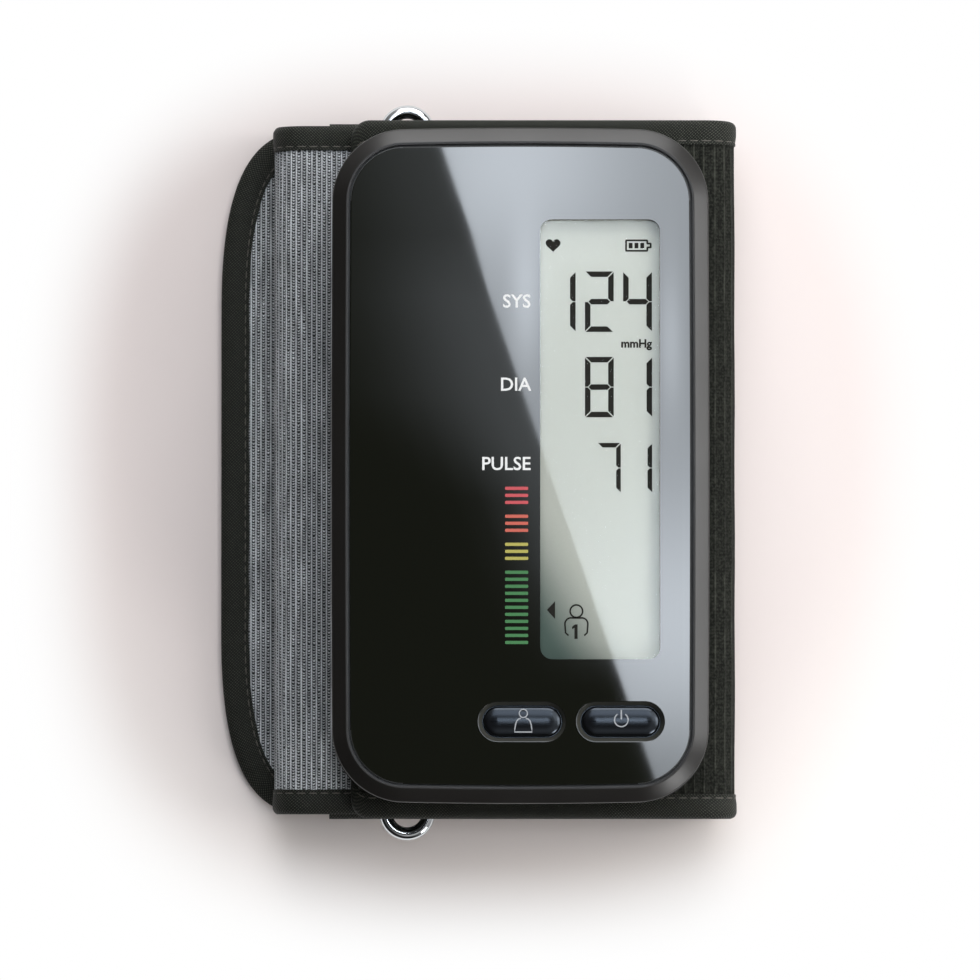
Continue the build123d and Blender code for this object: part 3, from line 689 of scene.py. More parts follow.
def display_ground():
    """Polariser over a reflector: grey-green and a clear mirror, with painted shade that darkens
    it towards its lower left.
    """
    finish, tree = blank("polariser_film")
    at = add(tree, "ShaderNodeSeparateXYZ", {0: place(tree)}).outputs
    corner = (pane_low + MIDDLE) * MM
    # distance from the lower left corner, 12 mm across counting as much as 21 mm up
    away = calc(tree, "ADD", times(tree, calc(tree, "SUBTRACT", at[0], corner[0]), 1 / 0.012),
                times(tree, calc(tree, "SUBTRACT", at[1], corner[1]), 1 / 0.021))
    # painted shade: the ground's colour is darkened towards the lower left corner, whatever the
    # light
    painted_light = ranged(tree, away, 0.3, 1.8, 0.17, 1.0, smooth=True)
    tint = blend_colours(tree, times(tree, painted_light, uneven(tree, 0.5, 0.94, 1.03)),
                         (0.0, 0.035, 0.030), case().display)
    shell(tree, {"Base Color": tint, "Roughness": uneven(tree, 14.0, 0.008, 0.016), "IOR": 1.36})
    return finish


def plain(name, tint, roughness, grain_size=0.4, depth=0.01, low=0.85, **inputs):
    """A dyed or printed material: its colour varies a little, over a fine grain."""
    finish, tree = blank(name)
    grain = grains(tree, grain_size)
    shade = blend_colours(tree, grains(tree, 12 * grain_size), [c * low for c in tint], tint)
    values = {"Base Color": shade, "Roughness": roughness}
    values.update({key.replace("_", " "): value for key, value in inputs.items()})
    shell(tree, values, grain, depth)
    return finish


def metal(name, tint, roughness, brushed=0.5, depth=0.002):
    """Bare or plated metal; its polish is uneven at the size of the marks on it."""
    finish, tree = blank(name)
    marks = grains(tree, brushed)
    polish = ranged(tree, marks, 0, 1, roughness * 0.8, roughness * 1.3)
    shell(tree, {"Base Color": rgba(tint), "Metallic": 1.0, "Roughness": polish}, marks, depth)
    return finish


def ribbed_lining():
    """Knitted polyester lining: pale ribs with braided darker yarn between them."""
    finish, tree = blank("knitted_polyester")
    along, wide, _ = weave_marks(tree)
    pitch = cuff().rib_pitch / MM
    line = calc(tree, "POWER", wave(tree, along, pitch), 4.0)
    middle = calc(tree, "POWER", calc(tree, "SUBTRACT", 1.0, wave(tree, along, pitch)), 2.0)
    # the braid is drawn 0.6 mm from loop to loop, the finest that still shows
    lean = times(tree, calc(tree, "PINGPONG", along, pitch / 2), 0.5)
    # every column's loops stand a little off its neighbour's
    column = calc(tree, "FLOOR", times(tree, along, 1 / pitch))
    lean = calc(tree, "ADD", lean, times(tree, column, 0.37))
    lean = calc(tree, "ADD", lean, times(tree, grains(tree, 0.9), 0.8))
    loops = calc(tree, "POWER", wave(tree, calc(tree, "ADD", wide, lean), 0.60), 2.0)
    # each rib keeps its own tone for a few millimetres
    worn = add(tree, "ShaderNodeCombineXYZ", {0: along, 1: times(tree, wide, 0.12)})
    patch = add(tree, "ShaderNodeTexNoise", {"Vector": worn.outputs[0], "Scale": 0.9,
                                             "Detail": 2.0}).outputs[0]
    level = ranged(tree, patch, 0.3, 0.7, 0.62, 1.45)
    beads = calc(tree, "ADD", 0.7, times(tree, loops, 0.3))
    braid = times(tree, middle, loops)
    tone = calc(tree, "ADD", times(tree, line, beads), times(tree, braid, 0.95))
    shade = blend_colours(tree, calc(tree, "MULTIPLY", tone, level, clamp=True),
                          cuff().lining_dark, cuff().lining)
    relief = calc(tree, "ADD", line, times(tree, braid, 0.6))
    shell(tree, {"Base Color": shade, "Roughness": 0.85, "Sheen Weight": 0.1,
                 "Sheen Roughness": 0.5}, relief, 0.12)
    return finish


def outer_cloth():
    """Woven nylon with a raised cord every two millimetres; the cords are coloured lighter, a
    painted highlight in uneven patches.
    """
    finish, tree = blank("corded_nylon")
    along, wide, _ = weave_marks(tree)
    cord = calc(tree, "POWER", wave(tree, along, cuff().cloth_pitch / MM), 12.0)
    threads = times(tree, wave(tree, wide, 0.7), wave(tree, along, 0.5))
    painted_light = ranged(tree, grains(tree, 5.0), 0.35, 0.65)
    mottled = ranged(tree, grains(tree, 0.55), 0.4, 0.75)
    # painted highlight: the cords' colour is lighter than the cloth's, more in some patches than
    # in others
    tone = calc(tree, "ADD", times(tree, cord, painted_light, 0.5),
                calc(tree, "ADD", times(tree, threads, 0.12), times(tree, mottled, 0.35)),
                clamp=True)
    shade = blend_colours(tree, tone, cuff().cloth, linear("#4C4E46"))
    relief = calc(tree, "ADD", cord, times(tree, threads, 0.5))
    shell(tree, {"Base Color": shade, "Roughness": 0.75, "Specular IOR Level": 0.1,
                 "Sheen Weight": 0.01, "Sheen Roughness": 0.4}, relief, 0.10)
    return finish


def twill_tape():
    """Woven polyester twill tape: fine slanting wales with a dull shine."""
    finish, tree = blank("twill_tape")
    along, wide, _ = weave_marks(tree)
    # the wales are drawn 0.6 mm apart and crossed every 0.75 mm, the finest that still shows
    wale = wave(tree, calc(tree, "ADD", along, wide), 0.60)
    cross = wave(tree, calc(tree, "SUBTRACT", along, wide), 0.75)
    raised = times(tree, wale, calc(tree, "ADD", 0.35, times(tree, cross, 0.65)))
    tone = calc(tree, "MULTIPLY", calc(tree, "POWER", raised, 2.0),
                calc(tree, "ADD", 0.4, grains(tree, 0.9)), clamp=True)
    shade = blend_colours(tree, tone, cuff().tape, linear("#55574D"))
    shell(tree, {"Base Color": shade, "Roughness": 0.6, "Specular IOR Level": 0.2,
                 "Sheen Weight": 0.02, "Sheen Roughness": 0.4}, raised, 0.10)
    return finish


def hook_tape():
    """Nylon hook tape: rows of stiff little hooks in a black ground."""
    finish, tree = blank("nylon_hooks")
    spots = add(tree, "ShaderNodeTexVoronoi", {"Vector": place(tree), "Scale": 1 / (0.9 * MM),
                                               "Randomness": 0.35})
    tone = ranged(tree, spots.outputs["Distance"], 0, 0.5, 1.0, 0.0)
    shade = blend_colours(tree, tone, linear("#141413"), linear("#34342F"))
    shell(tree, {"Base Color": shade, "Roughness": 0.55}, tone, 0.25)
    return finish


def woven_webbing():
    """Woven nylon webbing: coarse crossing yarns."""
    finish, tree = blank("nylon_webbing")
    parts = add(tree, "ShaderNodeSeparateXYZ", {0: place(tree)}).outputs
    yarn = times(tree, wave(tree, parts[1], 1.2 * MM), wave(tree, parts[0], 1.0 * MM))
    shade = blend_colours(tree, yarn, linear("#161614"), linear("#33332F"))
    shell(tree, {"Base Color": shade, "Roughness": 0.7}, yarn, 0.15)
    return finish


def glow(name, tint, strength):
    """A lit surface, its level in each place read from the third mark."""
    finish, tree = blank(name)
    level = times(tree, weave_marks(tree)[2], strength)
    light = add(tree, "ShaderNodeEmission", {"Color": rgba(tint), "Strength": level})
    add(tree, "ShaderNodeOutputMaterial", {"Surface": light.outputs[0]})
    return finish


# ---------------------------------------------------------------- housing
RIM_WIDTH = 2.9
RIM_DROP = 1.7
LIP = 0.5
SEAT = RIM_WIDTH + LIP
WALL = 1.8
HALF_X = (housing_high[0] - housing_low[0]) / 2
HALF_Y = (housing_high[1] - housing_low[1]) / 2
CORNER = 14.4
SIDE_BOW = 0.3
END_BOW = 0.75
Z_LEDGE = panel_low[2] - 0.05
WALL_TOP = SEAM + 5.2
POST_X, POST_Y, POST_RADIUS, POST_HEIGHT, SCREW_HOLE = 28.0, 61.5, 3.0, 5.6, 1.2


def bowed_plan():
    """The plan, its sides first drawn in by their bow, so that the bow ends on the box."""
    near_x, near_y = HALF_X - SIDE_BOW, HALF_Y - END_BOW
    x, y = plan_loop(near_x, near_y, CORNER, turns=26, runs=26)[0].T
    moved = np.stack([x + SIDE_BOW * (1 - (y / HALF_Y) ** 2) * (x / near_x) ** 3,
                      y + END_BOW * (1 - (x / HALF_X) ** 2) * (y / near_y) ** 3], axis=1)
    return moved, outward(moved)


def bezel_profile():
    """Closed section of the front housing: wall, ledge, lip, sloping rim, side."""
    radius = case().edge_radius / MM
    points = [(WALL, SEAM), (WALL, WALL_TOP), (SEAT + 1.6, WALL_TOP),
              (SEAT + 1.6, Z_LEDGE), (SEAT, Z_LEDGE), (SEAT, TOP),
              (RIM_WIDTH, TOP), (0.0, TOP - RIM_DROP), (0.0, SEAM + 0.12), (0.12, SEAM)]
    radii = [0, 0, 0.3, 0.3, 0, 0.05, radius, 0.3, 0, 0]
    return eased(points, radii)


def circle(x, y, radius, count):
    """Round plan loop and its normals."""
    return plan_loop(radius, radius, radius * 0.999, (x, y), count // 4 + 1, 0)


def disc(x, y, radius, z_low, z_high, count=20, bore=0.0):
    """A short post, hollow if it has a bore."""
    profile = np.array([(0, z_low), (0, z_high)], dtype=float)
    contours = [(*circle(x, y, radius, count), profile)]
    if bore:
        contours.append((*reversed_loop(*circle(x, y, bore, count)), profile))
    return plate(contours)


class MONITOR_OT_housing(bpy.types.Operator):
    """Front housing with its sloping rim, and the finish of the rear cover"""

    bl_idname = "monitor.housing"
    bl_label = "Housing"

    def execute(self, context):
        finish = textured_abs()
        loop, normal = bowed_plan()
        parts = [band(loop, normal, bezel_profile(), closed=True)]
        for x in (-POST_X, POST_X):
            for y in (-POST_Y, POST_Y):
                parts.append(disc(x, y, POST_RADIUS, SEAM, SEAM + POST_HEIGHT, bore=SCREW_HOLE))
        points, faces = merged([matched(*part) for part in parts])
        piece = put_mesh("housing_front", points, faces, [finish], "root")
        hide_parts("front_housing")
        dress("rear_cover", finish, smooth=True)
        return {"FINISHED"}


def dress(node, finish, smooth=False):
    """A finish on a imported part, and even shading over its curved faces."""
    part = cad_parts[node]
    part.data.materials.clear()
    part.data.materials.append(finish)
    for slot in part.material_slots:
        slot.material = finish
    if smooth:
        weld = part.modifiers.new("Weld", "WELD")
        weld.merge_threshold = 0.002 * MM
        split = part.modifiers.new("Edges", "EDGE_SPLIT")
        split.split_angle = math.radians(35)
        even = part.modifiers.new("Normals", "WEIGHTED_NORMAL")
        even.keep_sharp = True


# ---------------------------------------------------------------- face panel
BUTTON_Y = -53.0
BUTTONS = {"user": 0.4, "power": 20.7}
CAP_LENGTH, CAP_WIDTH, CAP_GAP = 16.2, 6.3, 0.15
DISH_MARGIN, DISH_DEPTH = 0.95, 1.0
DISH_REACH = 6.0        # how far from the buttons' line a dish's wall may lie
WINDOW_CORNER = 3.0
PANEL_GAP = 0.42        # between the lip and the panel's edge
EDGE_ROUND = 0.22


def slot_loop(x, y, long, wide):
    """Plan loop of a slot with round ends, and its normals."""
    return plan_loop(long / 2, wide / 2, wide / 2 * 0.999, middle=(x, y), turns=16, runs=3)


class MONITOR_OT_face(bpy.types.Operator):
    """Gloss face panel with the window, the button dishes and the printed legends"""

    bl_idname = "monitor.face"
    bl_label = "Face panel"

    def execute(self, context):
        low, high = panel_low[2], panel_high[2]
        loop, normal = bowed_plan()
        rim = loop - normal * (SEAT + PANEL_GAP)
        outer = eased([(0.6, low), (0.0, low), (0.0, high), (0.26, high), (0.6, high)],
                      [0, 0.05, EDGE_ROUND, 0, 0])
        contours = [(rim, normal, outer)]
        half = (pane_high - pane_low) / 2 + 0.05
        middle = (pane_high + pane_low)[:2] / 2
        window = plan_loop(half[0], half[1], WINDOW_CORNER, middle, 12, 10)
        edge = eased([(0.6, low), (0.0, low), (0.0, high), (0.15, high), (0.6, high)],
                     [0, 0, 0.12, 0, 0])
        contours.append((*reversed_loop(*window), edge))
        radius = case().dish_radius / MM
        for x in BUTTONS.values():
            dish = slot_loop(x, BUTTON_Y, CAP_LENGTH + 2 * DISH_MARGIN,
                             CAP_WIDTH + 2 * DISH_MARGIN)
            # the hole's wall stands in from the dish's rim, so its inset is negative
            inner = -(DISH_MARGIN - CAP_GAP)
            profile = eased([(inner + 0.3, low), (inner, low), (inner, high - DISH_DEPTH),
                             (0.0, high), (1.3 * radius, high), (0.9, high)],
                            [0, 0, 0.08, radius, 0, 0])
            contours.append((*reversed_loop(*dish), profile))
        points, faces = matched(*plate(contours))
        satin = plain("satin_acrylic", linear("#393935"), 0.4, 0.3, 0.004,
                      Specular_IOR_Level=0.15)
        # painted highlight: the panel's rounded outer edge is coloured a lighter grey, which
        # stands in for its gleam
        edge_highlight = plain("painted_edge_highlight", linear("#4C4D4D"), 0.35, 0.3, 0.002)
        centres = np.array([points[face].mean(axis=0) for face in faces])
        rises = np.array([np.ptp(points[face][:, 2]) for face in faces])
        walls = ((rises > 0.3) & (abs(centres[:, 1] - BUTTON_Y) < DISH_REACH)
                 & (centres[:, 2] > high - DISH_DEPTH))
        # the rounded outer edge, where the painted highlight goes
        beside = np.array([np.hypot(*(rim - centre[:2]).T).min() < 0.45 for centre in centres])
        rounded = beside & (centres[:, 2] > high - EDGE_ROUND) & (centres[:, 2] < high - 1e-3)
        piece = put_mesh("face_plate", points, faces, [lacquered_face(), satin, edge_highlight],
                         "root",
                         face_finish=np.where(rounded, 2, walls.astype(int)))
        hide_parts("face_panel")
        self.border(middle, half)
        legends()
        return {"FINISHED"}

    def border(self, middle, half):
        """Black print over the pane's rim, which leaves the window open."""
        outside = plan_loop(half[0] + 0.25, half[1] + 0.25, WINDOW_CORNER + 0.25, middle, 12, 10)
        opening = plan_loop(half[0] - 0.42, half[1] - 0.36, WINDOW_CORNER - 0.5, middle, 12, 10)
        flat = np.array([(0.0, TOP + 0.005), (0.0, TOP + 0.02)])
        points, faces = matched(*plate([(*outside, flat), (*reversed_loop(*opening), flat)]))
        put_mesh("window_border", points, faces, [lacquered_face()], "root")


# ---------------------------------------------------------------- flat print and segments
def lifted(plan, height):
    """Plan points at a height."""
    return np.c_[plan, np.full(len(plan), height)]


def prism(outline, low, high):
    """A flat shape raised between two heights."""
    flat = np.asarray(outline, dtype=float)
    count = len(flat)
    area = np.sum(flat[:, 0] * np.roll(flat[:, 1], -1) - np.roll(flat[:, 0], -1) * flat[:, 1])
    if area < 0:
        flat = flat[::-1]
    k = np.arange(count)
    sides = np.stack([k, (k + 1) % count, (k + 1) % count + count, k + count], axis=1).tolist()
    return (np.concatenate([lifted(flat, low), lifted(flat, high)]),
            sides + [list(range(count))[::-1], list(range(count, 2 * count))])


def line(points, width, low, high, closed=False):
    """A drawn line of a width: points moved to both sides of their path by half of it."""
    path = np.asarray(points, dtype=float)
    if closed:
        ahead = np.roll(path, -1, axis=0) - np.roll(path, 1, axis=0)
    else:
        ahead = np.gradient(path, axis=0)
    normal = np.stack([-ahead[:, 1], ahead[:, 0]], axis=1)
    normal /= np.linalg.norm(normal, axis=1)[:, None]
    left, right = path + normal * width / 2, path - normal * width / 2
    flat = np.stack([lifted(left, low), lifted(right, low), lifted(right, high),
                     lifted(left, high)], axis=1).reshape(-1, 3)
    faces = grid(len(path), 4, around=True, along=closed)
    if not closed:
        last = (len(path) - 1) * 4
        faces += [[0, 1, 2, 3], [last + 3, last + 2, last + 1, last]]
    return flat, turned_out(flat, faces)


def arc(x, y, radius, start, end, count=24):
    """Points on a circle, x + r cos a, y + r sin a, angles in degrees."""
    a = np.radians(np.linspace(start, end, count))
    return np.stack([x + radius * np.cos(a), y + radius * np.sin(a)], axis=1)


# the bars of each figure: a on top, g in the middle, the others clockwise from b
SEGMENTS = {"0": "abcdef", "1": "bc", "2": "abged", "3": "abgcd", "4": "fgbc", "5": "afgcd",
            "6": "afgedc", "7": "abc", "8": "abcdefg", "9": "abfgcd"}


def digit(value, right, top, wide, tall, stroke, low, high, gap=0.16):
    """Seven-segment figure: bars with slanted ends, a little apart."""
    left, bottom = right - wide, top - tall
    middle = (top + bottom) / 2
    half = stroke / 2
    over, under = middle + gap / 2, middle - gap / 2
    start, end = left + gap, right - gap
    inner_start, inner_end = start + stroke, end - stroke
    near_left, near_right = left + stroke, right - stroke
    upper, lower = top - gap, bottom + gap
    shapes = {
        "a": [(start, top), (end, top), (inner_end, top - stroke), (inner_start, top - stroke)],
        "d": [(start, bottom), (inner_start, bottom + stroke), (inner_end, bottom + stroke),
              (end, bottom)],
        "g": [(start + half, middle), (inner_start, middle + half), (inner_end, middle + half),
              (end - half, middle), (inner_end, middle - half), (inner_start, middle - half)],
        "b": [(right, upper), (right, over), (right - half, over), (near_right, over + half),
              (near_right, upper - stroke)],
        "c": [(right, under), (right, lower), (near_right, lower + stroke),
              (near_right, under - half), (right - half, under)],
        "f": [(left, upper), (near_left, upper - stroke), (near_left, over + half),
              (left + half, over), (left, over)],
        "e": [(left, under), (left + half, under), (near_left, under - half),
              (near_left, lower + stroke), (left, lower)],
    }
    return [prism(shapes[name], low, high) for name in SEGMENTS[value]]


CAPITAL = 0.70          # height of a capital letter for a font size of 1


def words(text, right, base, tall, low, high, weight=0.012):
    """A short plain legend, right-aligned, its capitals a height tall."""
    curve = bpy.data.curves.new("legend", "FONT")
    curve.body = text
    curve.align_x = "RIGHT"
    curve.resolution_u = 3
    curve.offset = weight
    holder = bpy.data.objects.new("legend", curve)
    bpy.context.scene.collection.objects.link(holder)
    bpy.context.view_layer.update()
    mesh = bpy.data.meshes.new_from_object(holder)
    flat = np.zeros(len(mesh.vertices) * 3)
    mesh.vertices.foreach_get("co", flat)
    flat = flat.reshape(-1, 3)
    faces = [list(face.vertices) for face in mesh.polygons]
    count = len(flat)
    plan = flat[:, :2] * tall / CAPITAL + np.array([right, base])
    edges = dict.fromkeys((a, b) for face in faces for a, b in zip(face, face[1:] + face[:1]))
    sides = [[a, b, b + count, a + count] for a, b in edges if (b, a) not in edges]
    points = np.concatenate([lifted(plan, low), lifted(plan, high)])
    whole = [face[::-1] for face in faces] + [[i + count for i in face] for face in faces]
    bpy.data.objects.remove(holder)
    bpy.data.meshes.remove(mesh)
    return points, turned_out(points, whole + sides)


def figure(x, y, size, low, high, width):
    """A head and shoulders drawn as lines: a ring over an open-footed arch."""
    head = line(arc(x, y + 0.62 * size, 0.36 * size, 0, 345), width, low, high, closed=True)
    body = np.concatenate([
        [(x - 0.45 * size, y - 0.78 * size), (x - 0.62 * size, y - 0.62 * size)],
        arc(x - 0.3 * size, y - 0.12 * size, 0.36 * size, 190, 100, 8),
        arc(x + 0.3 * size, y - 0.12 * size, 0.36 * size, 80, -10, 8),
        [(x + 0.62 * size, y - 0.62 * size), (x + 0.45 * size, y - 0.78 * size)]])
    return [head, line(body, width, low, high)]


def bust(x, y, low, high):
    """Head and shoulders in outline, closed below."""
    side = [(0.50, 0.68), (1.00, 0.52), (1.38, 0.10), (1.60, -0.60), (1.74, -1.40), (1.80, -2.15)]
    outline = [(x - a, y + b) for a, b in side] + [(x + a, y + b) for a, b in side[::-1]]
    return [line(arc(x, y + 1.68, 0.84, 0, 360, 30), 0.24, low, high),
            line(outline, 0.24, low, high)]


def heart(x, y, size, low, high):
    """A plain heart: x = 16 sin^3 t, y = 13 cos t - 5 cos 2t - 2 cos 3t - cos 4t."""
    t = np.linspace(0, 2 * np.pi, 41)[:-1]
    plan = np.stack([16 * np.sin(t) ** 3,
                     13 * np.cos(t) - 5 * np.cos(2 * t) - 2 * np.cos(3 * t) - np.cos(4 * t)],
                    axis=1) / 32 * size
    return prism(plan + np.array([x, y]), low, high)


def printed(name, parts, finish, body="root"):
    """Flat print of several parts as one piece."""
    points, faces = merged(parts)
    return put_mesh(name, points, faces, [finish], body, sharp=20)


def legends():
    """White legends and the coloured scale, printed on the panel."""
    low, high = TOP - 0.02, TOP + 0.02
    ink = plain("screen_ink", case().ink, 0.45, low=0.95)
    parts = [words(text, 2.2, base, 2.7, low, high)
             for text, base in (("SYS", 32.6), ("DIA", 15.4), ("PULSE", -1.0))]
    printed("legends", parts, ink)
    scale = (("red", "#C84F55", -4.83, 3), ("orange", "#C8604F", -10.6, 3),
             ("yellow", "#B0A850", -16.4, 3), ("green", "#3C7A45", -22.17, 11))
    for name, tint, first, count in scale:
        bars = [prism(plan_loop(2.39, 0.33, 0.2, (-0.76, first - 1.45 * k), 4, 1)[0], low, high)
                for k in range(count)]
        printed("scale_" + name, bars, plain("ink_" + name, linear(tint), 0.45, low=0.9))


# ---------------------------------------------------------------- display
class MONITOR_OT_display(bpy.types.Operator):
    """Display glass with its figures and signs, under the clear pane"""

    bl_idname = "monitor.display"
    bl_label = "Display"

    def execute(self, context):
        low, high = lcd_high[2] - 0.01, lcd_high[2] + 0.04
        segment = plain("display_segments", case().digits, 0.6, low=0.9, Specular_IOR_Level=0.1)
        rows = ((40.17, 12.53, 1.14, (("1", 11.45, 1.2), ("2", 19.34, 5.95), ("4", 27.25, 5.95))),
                (22.46, 12.50, 1.14, (("8", 19.34, 5.95), ("1", 27.28, 1.2))),
                (4.65, 10.37, 0.95, (("7", 20.79, 4.86), ("1", 27.28, 1.2))))
        parts = []
        for top, tall, stroke, values in rows:
            for value, right, wide in values:
                parts += digit(value, right, top, wide, tall, stroke, low, high)
        printed("display_figures", parts, segment)
        signs = [words("mmHg", 27.2, 24.45, 1.65, low, high, 0.035)]
        box = [(21.9, 46.6), (26.3, 46.6), (26.3, 45.95), (27.0, 45.95), (27.0, 45.15),
               (26.3, 45.15), (26.3, 44.45), (21.9, 44.45)]
        outline = np.concatenate([np.linspace(box[k], box[(k + 1) % 8], 14)[:-1]
                                  for k in range(8)])
        signs.append(line(outline, 0.38, low, high, closed=True))
        for x in (22.85, 24.05, 25.25):
            signs.append(prism([(x - 0.4, 44.95), (x + 0.4, 44.95), (x + 0.4, 46.1),
                                (x - 0.4, 46.1)], low, high))
        signs.append(heart(6.8, 45.7, 3.1, low, high))
        signs.append(prism([(5.5, -29.9), (7.2, -28.1), (7.2, -31.8)], low, high))
        signs += figure(11.6, -32.4, 3.6, low, high, 0.34)
        signs += [prism([(11.2, -35.9), (11.2, -33.6), (10.7, -33.9), (10.7, -33.4),
                         (11.3, -32.9), (11.85, -32.9), (11.85, -35.9)], low, high)]
        printed("display_signs", signs, segment)
        dress("lcd_glass", display_ground())
        dress("display_pane", clear_acrylic())
        return {"FINISHED"}


# ---------------------------------------------------------------- buttons
def cap(x):
    """A slot-shaped cap: its height falls from the middle as a round shoulder, over a stem."""
    low, high = panel_low[2] - 0.35, TOP
    loop, normal = slot_loop(x, BUTTON_Y, CAP_LENGTH, CAP_WIDTH)
    # a pillow: from the edge to the middle line, inset deep (1 - cos a), height 1.1 sin a
    deep, rise = CAP_WIDTH / 2 - 0.01, 1.1
    a = np.linspace(0, np.pi / 2, 26)[:-1]
    shoulder = np.stack([deep * (1 - np.cos(a)), high - rise + rise * np.sin(a)], axis=1)
    flange = [(-0.85, low - 1.2), (-0.85, low), (0.0, low)]
    profile = np.concatenate([flange, shoulder, [[deep, high]]])
    points, faces = band(loop, normal, profile)
    count = len(loop)
    last = (len(profile) - 1) * count
    faces += [list(range(count))[::-1], list(range(last, last + count))]
    stem = disc(x, BUTTON_Y, 1.3, corners("button_user")[0][2], low - 1.1)
    return merged([matched(points, faces), matched(*stem)])


class MONITOR_OT_buttons(bpy.types.Operator):
    """The two push buttons with their printed signs"""

    bl_idname = "monitor.buttons"
    bl_label = "Buttons"

    def execute(self, context):
        gloss = plain("button_abs", linear("#0C0C0D"), 0.22, 0.3, 0.003, IOR=1.6,
                      Specular_Tint=rgba(linear("#D3E2F4")))
        ink = plain("button_ink", linear("#A6A8AB"), 0.5, low=0.95)
        for name, x in BUTTONS.items():
            body = "button_" + name
            points, faces = cap(x)
            piece = put_mesh("cap_" + name, points, faces, [gloss], body)
            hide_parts(body)
            low, high = TOP - 0.16, TOP + 0.02
            if name == "user":
                parts = bust(x + 0.22, BUTTON_Y, low, high)
            else:
                parts = [line(arc(x + 0.15, BUTTON_Y + 0.35, 1.4, 125, 415, 40), 0.25, low, high),
                         prism([(x, BUTTON_Y + 0.45), (x + 0.3, BUTTON_Y + 0.45),
                                (x + 0.3, BUTTON_Y + 2.4), (x, BUTTON_Y + 2.4)], low, high)]
            printed("sign_" + name, parts, ink, body)
        return {"FINISHED"}


# ---------------------------------------------------------------- cuff
TIP_LENGTH, TIP_DEPTH, TIP_FULL = 17.9, 37.3, 0.68


def tip_curve():
    """Plan points of the tongue's rounded corner, a cubic curve from its tip to its side."""
    t = np.linspace(0, 1, 120)
    across_points = np.array([0, 0, TIP_LENGTH * (1 - TIP_FULL), TIP_LENGTH])
    along_points = HALF_TONGUE - np.array([TIP_DEPTH, TIP_DEPTH * (1 - TIP_FULL), 0, 0])
    weights = np.stack([(1 - t) ** 3, 3 * t * (1 - t) ** 2, 3 * t ** 2 * (1 - t), t ** 3])
    return np.stack([TIP_LEFT + across_points @ weights, along_points @ weights], axis=1)


class MONITOR_OT_pocket(bpy.types.Operator):
    """The base panel and the bladder pocket folded under it, with taped edges"""

    bl_idname = "monitor.pocket"
    bl_label = "Bladder pocket"

    def execute(self, context):
        run = X_RIGHT - PANEL_LEFT
        path = travel((PANEL_LEFT, Z_BASE), 0,
                      [(5.0, 0.3), (run - 15.0, 1.0), (10.0, 0.28), (RADIUS_RIGHT, -180, 0.28),
                       (X_RIGHT - POCKET_END, 1.0)])
        corner = 4.0
        trim = corner - np.sqrt(np.clip(corner ** 2 - np.clip(corner - path[2], 0, corner) ** 2,
                                        0, None))
        half = HALF_POCKET - trim
        cloths = [outer_cloth(), ribbed_lining()]
        piece = cloth_strip("pocket_shell", path, POCKET_HALF, half, cloths,
                            phase=0.35)
        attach(piece, "root")
        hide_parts("pocket_cloth", "pocket_lining")
        hem, seam = bound("pocket", path, half, POCKET_REACH, twill_tape(), thread())
        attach(hem, "root")
        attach(seam, "root")
        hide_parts("pocket_binding")
        return {"FINISHED"}


def thread():
    """Spun polyester sewing thread, a little lighter than the tape."""
    return plain("sewing_thread", cuff().thread, 0.6, 0.12, 0.02, low=0.6)


def end_edge(path_z, x_from):
    """Edge line round the tongue's end, from its upper side to its lower one.

    The straight sides run to the corner curves; the inward direction is the curve's
    normal in plan and up is the side that the lining faces.
    """
    curve = tip_curve()
    straight = np.stack([np.linspace(x_from, curve[-1][0], 60),
                         np.full(60, HALF_TONGUE)], axis=1)
    upper = np.concatenate([straight, curve[::-1][1:]])
    nose = np.linspace(upper[-1], upper[-1] * (1, -1), 40)[1:-1]
    plan = np.concatenate([upper, nose, upper[::-1] * (1, -1)])
    ahead = np.gradient(plan, axis=0)
    ahead /= np.linalg.norm(ahead, axis=1)[:, None]
    inward = np.stack([-ahead[:, 1], ahead[:, 0], np.zeros(len(plan))], axis=1)
    edge = np.c_[plan, np.full(len(plan), path_z)]
    up = np.tile([0.0, 0.0, -1.0], (len(plan), 1))
    return edge, inward, up


